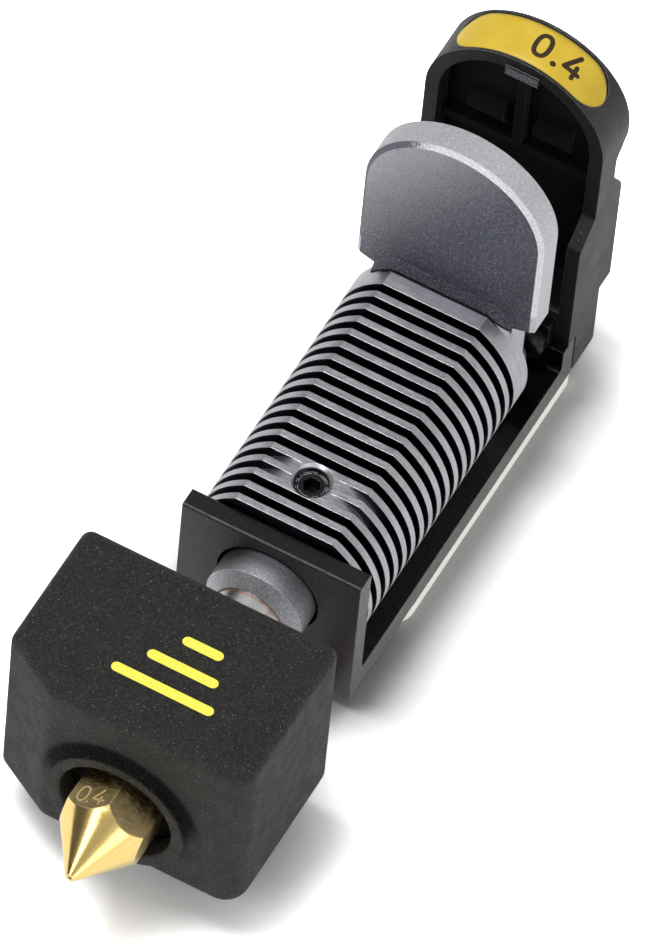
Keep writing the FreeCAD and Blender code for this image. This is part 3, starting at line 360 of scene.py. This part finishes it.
def blasted_steel():
    f = Finish("blasted_steel", metallic=1.0)
    grit = f.noise(5.0, 5.0, roughness=0.85)
    sparkle = f.specks(7.0, 0.42, 0.3)
    dark = f.specks(5.0, 0.42, 0.4, 5.0)
    cloud = f.noise(0.22, 3.0)
    foot = f.product(f.step(f.z, LIP_TOP + 0.3, LIP_TOP + 0.15),
                     f.step(f.y, PLATE_FRONT + 0.03, PLATE_FRONT - 0.01))
    chamfer = f.product(f.step(f.y, PLATE_FRONT + 0.49, PLATE_FRONT + 0.42),
                        f.step(f.ny, -0.93, -0.85),
                        f.step(f.z, LIP_TOP + 0.15, LIP_TOP + 0.75))
    face = f.most(f.step(f.ny, -0.85, -0.95), foot)
    # Painted light and shade: the face lighter to the left and top, darker to the lower right.
    painted_falloff = f.math("ADD", f.product(f.x, 0.045), f.product(f.z, -0.03))
    base = f.blend(f.step(painted_falloff, -1.5, -0.78), (0.64, 0.645, 0.67, 1.0), (0.105, 0.11, 0.14, 1.0))
    base = f.coat(base, cloud, 0.3, (0.16, 0.16, 0.20, 1.0))
    base = f.coat(base, dark, 0.55, (0.04, 0.04, 0.06, 1.0))
    base = f.coat(base, f.step(grit, 0.5, 0.62), 0.45, (0.46, 0.46, 0.50, 1.0))
    base = f.coat(base, f.step(grit, 0.48, 0.38), 0.5, (0.05, 0.05, 0.07, 1.0))
    base = f.coat(base, sparkle, 0.4, (0.90, 0.90, 0.93, 1.0))
    rim = f.blend(f.step(grit, 0.35, 0.7), (0.46, 0.46, 0.50, 1.0), (0.76, 0.76, 0.79, 1.0))
    base = f.blend(face, rim, base)
    # Painted highlight on the chamfer's right and painted shade on its left, split along a ragged
    # line.
    bright = f.blend(f.step(grit, 0.35, 0.65), (0.62, 0.62, 0.68, 1.0), (1.0, 1.0, 1.0, 1.0))
    lit_boundary = f.math("ADD", f.x, f.product(f.noise(4.5, 4.0, roughness=0.8), 7.0))
    edge = f.blend(f.step(lit_boundary, -1.4, 0.6), (0.16, 0.16, 0.20, 1.0), bright)
    base = f.blend(chamfer, base, edge)
    line = f.step(f.x, 5.4, 8.6, 5.0, 5.8)
    past = f.math("SUBTRACT", f.y, line)
    shoulder = f.product(f.step(past, 0.0, -0.02), f.step(f.x, 5.4, 5.6), foot)
    base = f.blend(shoulder, base, (0.50, 0.50, 0.53, 1.0))
    seam = f.product(f.step(f.math("ABSOLUTE", past), 0.075, 0.04),
                     f.step(f.y, PLATE_FRONT - 0.01, PLATE_FRONT - 0.05), foot)
    base = f.coat(base, seam, 0.93, (0.01, 0.01, 0.02, 1.0))
    soft = f.add("ShaderNodeBevel", Radius=0.08 * MM)
    upright = f.blend(f.product(foot, f.inverse(shoulder)), soft.outputs[0],
                      f.combine(0.0, -1.0, 0.0))
    f.bumps([(grit, 0.09), (sparkle, 0.05)], normal=upright)
    return f.finish(base, f.step(grit, 0.3, 0.7, 0.4, 0.54))


def black_painted_steel():
    f = Finish("black_painted_steel", specular=0.55)
    peel = f.noise(2.6, 3.0)
    grain = f.noise(6.0, 4.0, roughness=0.7)
    cloud = f.noise(0.2, 2.0)
    worn = f.product(f.edges(0.16), f.step(f.noise(1.6, 4.0), 0.38, 0.6))
    # Painted shade: darker and less shiny on upward faces, near-black between the locating plate
    # and the handle.
    upward_shade = f.step(f.nz, 0.8, 0.95)
    shade_behind_plate = f.product(f.step(f.y, 4.5, 6.5), f.step(f.y, HANDLE_FRONT + 0.2, HANDLE_FRONT),
                       f.step(f.nx, 0.9, 0.7))
    shade = f.most(f.product(upward_shade, 0.6), f.product(shade_behind_plate, 0.95))
    base = f.blend(cloud, rgb(20, 21, 19), rgb(32, 33, 30))
    base = f.coat(base, f.step(grain, 0.5, 0.75), 0.35, rgb(52, 53, 50))
    base = f.blend(shade, base, rgb(3, 4, 3))
    f.set("Specular IOR Level", f.step(shade, 0.2, 1.0, 0.55, 0.12))
    base = f.coat(base, worn, 0.6, rgb(120, 120, 114))
    base = f.coat(base, f.specks(3.4, 0.22, 0.08), 0.5, rgb(150, 148, 140))
    f.bumps([(peel, 0.02), (grain, 0.012)], edge=0.12)
    return f.finish(base, f.step(peel, 0.3, 0.7, 0.27, 0.38))


def black_plastic():
    f = Finish("black_plastic")
    grain = f.noise(5.0, 5.0, roughness=0.8)
    cloud = f.noise(0.3, 3.0)
    across = f.math("ABSOLUTE", f.math("SUBTRACT", f.x, GATE_MIDDLE))
    gate = f.product(f.step(f.y, HANDLE_FRONT + 0.1, HANDLE_FRONT),
                     f.step(across, GATE_HALF + 0.03, GATE_HALF - 0.05),
                     f.step(f.z, GATE_BOTTOM - 0.07, GATE_BOTTOM + 0.03),
                     f.step(f.z, GATE_TOP - 0.2, GATE_TOP - 0.27))
    rise = f.math("MAXIMUM", f.math("SUBTRACT", f.z, ARCH_Z), 0.0)
    reach = f.math("SQRT", f.math("ADD", f.product(f.x, f.x), f.product(rise, rise)))
    # Painted shade: near-black, rougher and less shiny in the handle's hollow, and darker on the
    # cap's front face.
    not_sideways = f.step(f.math("ABSOLUTE", f.nx), 0.7, 0.5)
    hollow_shade = f.product(f.step(reach, HOLLOW_RADIUS + 0.1, HOLLOW_RADIUS - 0.05),
                       f.step(f.y, HOLLOW_BACK + 0.2, HOLLOW_BACK + 0.1), f.step(f.y, 14.7, 15.4),
                       f.most(not_sideways, f.step(f.z, 25.0, 22.0)))
    torn = f.noise(4.5, 5.0, roughness=0.85)
    front = f.product(f.step(f.ny, -0.7, -0.9),
                      f.step(f.y, HANDLE_FRONT + 0.8, HANDLE_FRONT + 0.6))
    shade = f.most(f.product(front, 0.7), f.product(hollow_shade, 0.97))
    worn = f.product(f.edges(0.1), f.step(f.noise(2.0, 4.0), 0.35, 0.55, 0.4, 1.0))
    base = f.blend(cloud, rgb(14, 16, 16), rgb(23, 26, 25))
    base = f.coat(base, f.step(grain, 0.46, 0.68), 0.7, rgb(60, 64, 62))
    base = f.coat(base, f.specks(4.0, 0.32, 0.22), 0.4, rgb(150, 152, 148))
    base = f.blend(shade, base, rgb(2, 2, 2))
    base = f.blend(f.product(worn, f.math("SUBTRACT", 0.75, f.product(hollow_shade, 0.7))), base,
                   rgb(150, 153, 150))
    base = f.blend(f.product(gate, f.step(torn, 0.4, 0.58, 0.2, 1.0)), base, rgb(150, 152, 158))
    f.set("Specular IOR Level", f.step(shade, 0.1, 1.0, 0.42, 0.14))
    f.bumps([(grain, 0.07), (f.product(torn, gate), 0.3)], edge=0.15)
    rough = f.math("ADD", f.step(cloud, 0.3, 0.7, 0.4, 0.5), f.product(hollow_shade, 0.28))
    return f.finish(base, rough)


def yellow_label():
    f = Finish("yellow_label", specular=0.45)
    cloud = f.noise(0.35, 3.0)
    grain = f.noise(10.0, 3.0)
    base = f.blend(f.step(cloud, 0.2, 0.8), rgb(212, 178, 44), rgb(226, 194, 66))
    base = f.coat(base, f.specks(2.6, 0.25, 0.14), 0.25, rgb(190, 150, 30))
    base = f.blend(f.step(f.nz, 0.2, 0.05), base, rgb(40, 34, 16))
    f.bumps([(grain, 0.006), (cloud, 0.04)])
    return f.finish(base, f.step(grain, 0.3, 0.7, 0.4, 0.5))


def label_ink(colour):
    f = Finish("label_ink", specular=0.35)
    patch = f.noise(9.0, 3.0)
    f.bumps([(patch, 0.004)])
    return f.finish(f.blend(f.product(patch, 0.4), colour, rgb(84, 64, 28)),
                    f.step(patch, 0.3, 0.7, 0.5, 0.62))


def pale_board():
    f = Finish("pale_board", specular=0.4)
    weave = f.noise(3.0, 3.0, f.combine(f.product(f.x, 0.6), f.product(f.y, 0.6),
                                       f.product(f.z, 5.0)))
    base = f.blend(weave, rgb(244, 242, 232), rgb(255, 254, 249))
    f.bumps([(weave, 0.015)], edge=0.08)
    # Painted light: the board's +X edge glows a little, though it is no lamp.
    f.set("Emission Color", base)
    f.set("Emission Strength", f.step(f.nx, 0.5, 0.8, 0.0, 0.3))
    return f.finish(base, f.step(weave, 0.3, 0.7, 0.45, 0.6))


def plain_finish(name, dark, light, roughness, metallic=0.0, depth=0.008):
    """Small hidden or half-hidden pieces: a colour that varies, fine grain and soft edges."""
    f = Finish(name, metallic=metallic)
    patch = f.noise(0.8, 3.0)
    fine = f.noise(6.0, 3.0)
    f.bumps([(fine, depth)], edge=0.06)
    return f.finish(f.blend(f.math("ADD", f.product(patch, 0.6), f.product(fine, 0.4)),
                            dark, light), f.step(fine, 0.3, 0.7, roughness, roughness + 0.12))


def dark_screw():
    """Oiled black screw, with a painted highlight: bright rings on the set screw's outer turns of
    thread.
    """
    f = Finish("dark_screw_steel", metallic=0.4)
    patch = f.noise(0.8, 3.0)
    fine = f.noise(6.0, 3.0)
    reach, _ = f.from_screw()
    # Painted highlight on the outer turns of thread.
    turns = f.step(f.math("SINE", f.product(reach, 36.0)), 0.2, 0.8)
    rings = f.product(turns, f.step(reach, SCREW_RADIUS - 0.4, SCREW_RADIUS - 0.3),
                      f.step(reach, SCREW_RADIUS + 0.2, SCREW_RADIUS + 0.1),
                      f.step(f.noise(2.2, 3.0), 0.4, 0.55))
    base = f.blend(patch, (0.006, 0.006, 0.007, 1.0), (0.018, 0.018, 0.02, 1.0))
    base = f.coat(base, rings, 0.8, (0.62, 0.62, 0.64, 1.0))
    f.bumps([(fine, 0.008), (turns, 0.02)], edge=0.1)
    return f.finish(base, f.step(fine, 0.3, 0.7, 0.14, 0.26))


def turned_steel():
    f = Finish("bright_steel", metallic=1.0)
    radius, angle = f.turned()
    lathe = f.noise(10.0, 3.0, f.combine(radius, f.y, f.product(angle, 0.1)))
    tint = f.step(f.math("ABSOLUTE", f.math("SUBTRACT", f.y, HEATSINK_FRONT - 0.2)), 0.2, 0.05)
    base = f.blend(lathe, (0.70, 0.70, 0.71, 1.0), (0.88, 0.88, 0.88, 1.0))
    base = f.coat(base, tint, 0.8, (0.72, 0.42, 0.24, 1.0))
    f.bumps([(lathe, 0.004)], edge=0.05)
    return f.finish(base, f.step(lathe, 0.3, 0.7, 0.2, 0.32))


SLOT_FINISH = {
    "black_painted_steel": black_painted_steel(),
    "satin_aluminium": satin_aluminium(),
    "block_aluminium": block_aluminium(),
    "bright_steel": turned_steel(),
    "dark_screw_steel": dark_screw(),
    "blasted_steel": blasted_steel(),
    "brass": brass(),
    "black_silicone": black_silicone(),
    "black_plastic": black_plastic(),
    "yellow_label": yellow_label(),
    "white_liner": plain_finish("white_liner", rgb(214, 214, 208), rgb(238, 238, 233), 0.42),
    "pale_board": pale_board(),
    "white_film": plain_finish("white_film", rgb(196, 196, 190), rgb(222, 222, 218), 0.4),
    "contact_metal": plain_finish("contact_metal", (0.72, 0.52, 0.22, 1.0),
                                  (0.86, 0.66, 0.32, 1.0), 0.26, metallic=1.0, depth=0.003),
    "lead_insulation": plain_finish("lead_insulation", rgb(120, 38, 28), rgb(150, 54, 40), 0.45),
}

for node in nodes.values():
    for place in node.material_slots:
        place.material = SLOT_FINISH[place.material.name.split(".")[0]]


# ---------------------------------------------------------------- meshes
def add_piece(name, vertices, faces, material, body):
    mesh = bpy.data.meshes.new(name)
    mesh.from_pydata(vertices, [], faces)
    mesh.materials.append(material)
    mesh.update()
    piece = bpy.data.objects.new(name, mesh)
    bpy.context.scene.collection.objects.link(piece)
    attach(piece, body)
    return piece


def oval(centre, half_width, half_height, parts=48, power=2.4):
    """Closed rounded outline such as a nought's middle line."""
    line = []
    for i in range(parts):
        turn = 2 * math.pi * i / parts
        across, up = math.cos(turn), math.sin(turn)
        line.append((centre[0] + half_width * math.copysign(abs(across) ** (2 / power), across),
                     centre[1] + half_height * math.copysign(abs(up) ** (2 / power), up)))
    return line


def stroke(line, width, closed=False):
    """Stations along a pen line: left and right edge points as (u, v) pairs."""
    half = width / 2
    count = len(line)
    stations = []
    for i, point in enumerate(line):
        before = line[(i - 1) % count] if closed or i else point
        after = line[(i + 1) % count] if closed or i < count - 1 else point
        along = Vector((after[0] - before[0], after[1] - before[1])).normalized()
        stations.append((Vector(point), along, half))
    if not closed:
        first, last = stations[0], stations[-1]
        turns = [math.radians(a) for a in (20, 40, 58, 74, 86)]
        front = [(first[0] - first[1] * half * math.sin(t), first[1], half * math.cos(t))
                 for t in reversed(turns)]
        back = [(last[0] + last[1] * half * math.sin(t), last[1], half * math.cos(t))
                for t in turns]
        stations = front + stations + back
    return [(p + Vector((-d.y, d.x)) * w, p - Vector((-d.y, d.x)) * w) for p, d, w in stations]


def laid_strokes(strokes, surface, lift):
    """Raised flat strips on a surface(u, v, height): vertices and faces."""
    vertices, faces = [], []
    for edges, closed in strokes:
        start = len(vertices)
        for left, right in edges:
            vertices += [surface(left.x, left.y, lift), surface(right.x, right.y, lift),
                         surface(right.x, right.y, 0.0), surface(left.x, left.y, 0.0)]
        count = len(edges)
        for i in range(count if closed else count - 1):
            a, b = start + 4 * i, start + 4 * ((i + 1) % count)
            faces += [(a, a + 1, b + 1, b), (a + 1, a + 2, b + 2, b + 1), (a + 3, a, b, b + 3)]
        if not closed:
            a, b = start, start + 4 * (count - 1)
            faces += [(a + 3, a + 2, a + 1, a), (b, b + 1, b + 2, b + 3)]
    return vertices, faces


def number_strokes(places, height, width, across):
    """Pen strokes of 0.4: each character's left edge is in places, its foot at v = 0."""
    nought, point, four = places
    half_across, half_up = across / 2 - width / 2, height / 2 - width / 2
    body = oval((nought + across / 2, height / 2), half_across, half_up)
    wide = across * 1.12
    top = (four + wide * 0.62, height - width / 2)
    foot = (four + width / 2, height * 0.3)
    bar = (four + wide - width / 2, height * 0.3)
    slope = [tuple(Vector(top).lerp(Vector(foot), t / 6)) for t in range(7)]
    level = [tuple(Vector(foot).lerp(Vector(bar), t / 6)) for t in range(7)]
    stem_u = four + wide * 0.68
    stem = [(stem_u, height * (0.52 - 0.52 * t / 5) + width / 2 * (t / 5)) for t in range(6)]
    dot = [(point, width * 0.55), (point + 0.01, width * 0.55)]
    return [(stroke(body, width, closed=True), True), (stroke(dot, width * 1.25), False),
            (stroke(slope, width), False), (stroke(level, width), False),
            (stroke(stem, width), False)]


# ---------------------------------------------------------------- sock
def with_modifiers(thing):
    """A new mesh of the object as its modifiers shape it."""
    graph = bpy.context.evaluated_depsgraph_get()
    return bpy.data.meshes.new_from_object(thing.evaluated_get(graph))


def soft_copy(name, node, voxel, rounds, softness, material, body):
    """A CAD node's shape as soft rubber: remeshed, and eased where softness(point) says."""
    source = bpy.data.objects.new(name + "_source", nodes[node].data.copy())
    bpy.context.scene.collection.objects.link(source)
    remesh = source.modifiers.new("grid", "REMESH")
    remesh.mode = "VOXEL"
    remesh.voxel_size = voxel * MM
    fine = with_modifiers(source)
    bpy.data.objects.remove(source)
    fine.name = name
    fine.materials.clear()
    fine.materials.append(material)
    piece = bpy.data.objects.new(name, fine)
    bpy.context.scene.collection.objects.link(piece)
    grip = piece.vertex_groups.new(name="soft")
    for vertex in fine.vertices:
        grip.add([vertex.index], softness(vertex.co / MM), "REPLACE")
    ease = piece.modifiers.new("ease", "SMOOTH")
    ease.factor = 0.5
    ease.iterations = rounds
    ease.vertex_group = "soft"
    smooth = with_modifiers(piece)
    piece.modifiers.remove(ease)
    piece.data = smooth
    smooth.polygons.foreach_set("use_smooth", [True] * len(smooth.polygons))
    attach(piece, body)
    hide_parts(node)
    return piece


def between(value, low, high):
    share = min(1.0, max(0.0, (value - low) / (high - low)))
    return share * share * (3 - 2 * share)


def sock_softness(point):
    """Most at the front's upper edge and in the valley round the ring, least on the ring's lip."""
    radius = math.hypot(point.x, point.z - AXIS_Z)
    front = between(-point.y, 49.5, 51.5)
    lip = between(radius, 5.0, 5.4) * between(-radius, -7.8, -7.2) * front
    top_edge = front * between(point.z, 17.0, 21.0)
    return max(0.12, 0.45 * front, top_edge) * (1.0 - 0.8 * lip)


sock = soft_copy("soft_sock", "silicone_sock", 0.2, 40, sock_softness,
                 SLOT_FINISH["black_silicone"], "sock")


def sock_surface(u, v, height):
    return Vector((u, v, SOCK_TOP - 0.02 + height)) * MM


# middle, half the length, and place along Y
stripes = ((0.8, 4.56, -47.95), (1.3, 3.0, -45.2), (1.8, 1.5, -42.45))
stripe_lines = [[(middle + half * (t / 6 - 1), y) for t in range(13)]
                for middle, half, y in stripes]
stripe_strokes = [(stroke(line, STRIPE_WIDTH), False) for line in stripe_lines]
vertices, faces = laid_strokes(stripe_strokes, sock_surface, 0.045)
add_piece("sock_marks", vertices, faces, yellow_print(), "sock")


# ---------------------------------------------------------------- label
def label_surface(u, v, height):
    """u runs round the handle's top from its crown towards +X, v along +Y."""
    turn = u / LABEL_RADIUS
    radius = LABEL_RADIUS + height
    return Vector((radius * math.sin(turn), v, ARCH_Z + radius * math.cos(turn))) * MM


def label_piece():
    """Curved plate with well rounded corners, as columns between its front and back edges."""
    round_off = 2.1
    columns, rows = 64, 10
    vertices, faces = [], []
    end = math.asin(LABEL_HALF / LABEL_RADIUS) * LABEL_RADIUS
    for i in range(columns + 1):
        share = -math.cos(math.pi * i / columns)
        u = end * share
        inset = max(0.0, abs(LABEL_RADIUS * math.sin(u / LABEL_RADIUS)) - (LABEL_HALF - round_off))
        cut = round_off - math.sqrt(max(0.0, round_off ** 2 - inset ** 2))
        front, back = LABEL_FRONT + cut, LABEL_BACK - cut
        for j in range(rows + 1):
            t = j / rows
            crown = -0.05 * max(0.0, abs(2 * t - 1) - 0.8) / 0.2
            vertices.append(label_surface(u, front + (back - front) * t, crown))
    top = len(vertices)
    for i in range(columns + 1):
        for j in (0, rows):
            point = vertices[i * (rows + 1) + j].copy()
            out = Vector((point.x, 0.0, point.z - ARCH_Z * MM)).normalized()
            vertices.append(point - out * 0.09 * MM)
    for i in range(columns):
        for j in range(rows):
            a = i * (rows + 1) + j
            b = a + rows + 1
            faces.append((a, b, b + 1, a + 1))
        for side, j in ((0, 0), (1, rows)):
            a, b = i * (rows + 1) + j, (i + 1) * (rows + 1) + j
            c, d = top + 2 * (i + 1) + side, top + 2 * i + side
            faces.append((a, d, c, b) if side == 0 else (a, b, c, d))
    return vertices, faces


vertices, faces = label_piece()
label = add_piece("label_plate", vertices, faces, SLOT_FINISH["yellow_label"], "cartridge")
label.data.polygons.foreach_set("use_smooth", [True] * len(label.data.polygons))
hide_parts("handle_label")


digits = number_strokes((-0.08, 2.42, 3.1), 2.75, 0.46, 1.8)
vertices, faces = laid_strokes(digits, lambda u, v, h: label_surface(u, v + DIGITS_FOOT, h), 0.008)
add_piece("label_digits", vertices, faces, label_ink(rgb(44, 30, 14)), "cartridge")


# ---------------------------------------------------------------- nozzle engraving
def hex_surface(u, v, height):
    """The nozzle's engraved flat: u across it, v back along the axis."""
    turn = math.radians(HEX_TURN)
    out = Vector((math.sin(turn), 0.0, math.cos(turn)))
    across = Vector((math.cos(turn), 0.0, -math.sin(turn)))
    return (Vector((0.0, v, AXIS_Z)) + out * (HEX_FLAT + height) + across * u) * MM


engraved = number_strokes((-1.5, -0.15, 0.14), 1.75, 0.15, 1.15)
vertices, faces = laid_strokes(engraved, lambda u, v, h: hex_surface(u, v + NUMBER_FOOT, h), 0.018)
add_piece("nozzle_number", vertices, faces, brass_engraving(), "tip")


# ---------------------------------------------------------------- floor, light, camera
SHADOW_REACH = 8.0


def floor_material():
    """White in reflections. To the camera, darker round the object, a painted shadow, and lighter
    past its ends, painted light.
    """
    material = bpy.data.materials.new("floor_white")
    material.use_nodes = True
    n = Nodes(material.node_tree)
    n.tree.nodes.remove(n.tree.nodes["Principled BSDF"])
    path = n.add("ShaderNodeLightPath").outputs
    mirror = n.most(path["Is Glossy Ray"], path["Is Transmission Ray"])
    open_sky = n.add("ShaderNodeAmbientOcclusion", Distance=SHADOW_REACH * MM)
    open_sky.samples = 16
    where = n.add("ShaderNodeTexCoord").outputs["Object"]
    along = n.add("ShaderNodeSeparateXYZ", Vector=where).outputs[1]
    # Painted shadow from the occlusion round the object; painted light past the handle and the
    # sock.
    white = n.math("ADD", n.step(open_sky.outputs["AO"], 0.6, 1.0, 0.5, 1.5),
                   n.step(along, 13.0 * MM, 21.0 * MM, 0.0, 1.1))
    white = n.math("ADD", white, n.step(along, -27.0 * MM, -38.0 * MM, 0.0, 0.6))
    grey = n.blend(path["Is Camera Ray"], (0.7, 0.7, 0.7, 1.0), n.combine(white, white, white))
    diffuse = n.add("ShaderNodeBsdfDiffuse", Color=grey)
    glow = n.add("ShaderNodeEmission", Color=(0.3, 0.3, 0.3, 1.0), Strength=mirror)
    total = n.tree.nodes.new("ShaderNodeAddShader")
    n.feed(total.inputs[0], diffuse.outputs[0])
    n.feed(total.inputs[1], glow.outputs[0])
    n.feed(n.tree.nodes["Material Output"].inputs["Surface"], total.outputs[0])
    return material


def add_floor():
    grid = bmesh.new()
    bmesh.ops.create_grid(grid, x_segments=8, y_segments=8, size=1.6)
    mesh = bpy.data.meshes.new("floor")
    grid.to_mesh(mesh)
    grid.free()
    mesh.transform(Matrix.Translation((0.0, 0.0, -0.00003)))
    mesh.materials.append(floor_material())
    floor = bpy.data.objects.new("floor", mesh)
    bpy.context.scene.collection.objects.link(floor)


def add_world():
    """White to the camera; for reflections a studio that is bright at the front and right."""
    world = bpy.data.worlds.new("studio")
    bpy.context.scene.world = world
    world.use_nodes = True
    n = Nodes(world.node_tree)
    where = n.add("ShaderNodeTexCoord").outputs["Generated"]
    x, _, z = n.add("ShaderNodeSeparateXYZ", Vector=where).outputs
    low = n.step(x, -0.75, -0.1, 0.1, 0.72)
    level = n.math("ADD", n.product(low, n.step(z, 0.75, 0.5)), n.step(z, 0.5, 0.75, 0.0, 0.42))
    level = n.math("MAXIMUM", level, n.step(z, 0.06, 0.01))
    path = n.add("ShaderNodeLightPath").outputs
    mirror = n.most(path["Is Glossy Ray"], path["Is Transmission Ray"])
    colour = n.blend(mirror, (0.42, 0.42, 0.42, 1.0), n.combine(level, level, level))
    colour = n.blend(path["Is Camera Ray"], colour, (1.0, 1.0, 1.0, 1.0))
    n.feed(n.tree.nodes["Background"].inputs["Color"], colour)


def add_lamp(name, direction, distance, size, power):
    lamp = bpy.data.lights.new(name, "AREA")
    lamp.shape = "RECTANGLE"
    lamp.size, lamp.size_y = size
    lamp.energy = power
    holder = bpy.data.objects.new(name, lamp)
    bpy.context.scene.collection.objects.link(holder)
    towards = Vector(direction).normalized()
    target = Vector((0.0, -0.02, 0.015))
    holder.location = target + towards * distance
    holder.rotation_euler = (-towards).to_track_quat("-Z", "Y").to_euler()
    holder.visible_camera = False


FOCAL_PIXELS = 14168.0   # the photograph's focal length, from the part's straight edges
PHOTO_LONG_SIDE = 951.0


def add_camera():
    """The photograph's camera, solved from the part's straight edges, in metres."""
    lens = bpy.data.cameras.new("camera")
    lens.sensor_width = 36.0
    lens.lens = FOCAL_PIXELS * lens.sensor_width / PHOTO_LONG_SIDE
    lens.clip_start = 0.05
    lens.clip_end = 20.0
    camera = bpy.data.objects.new("camera", lens)
    bpy.context.scene.collection.objects.link(camera)
    right = Vector((0.8755, 0.4795, 0.0597))
    up = Vector((-0.4240, 0.7031, 0.5708))
    back = Vector((0.2318, -0.5251, 0.8189))
    turn = Matrix((right, up, back)).transposed().to_4x4()
    turn.translation = Vector((0.29087, -0.67518, 1.04555))
    camera.matrix_world = turn
    bpy.context.scene.camera = camera


add_floor()
add_world()
for name, direction, distance, size, power in (
        ("key", (-0.24, -0.08, 0.967), 0.9, (0.36, 0.36), 4.7),
        ("front", (-0.30, -0.70, 0.64), 0.9, (0.3, 0.3), 1.3),
        ("side", (0.75, -0.62, 0.26), 1.0, (0.3, 0.5), 0.7)):
    add_lamp(name, direction, distance, size, power)
add_camera()
bpy.context.scene.view_settings.view_transform = "Standard"
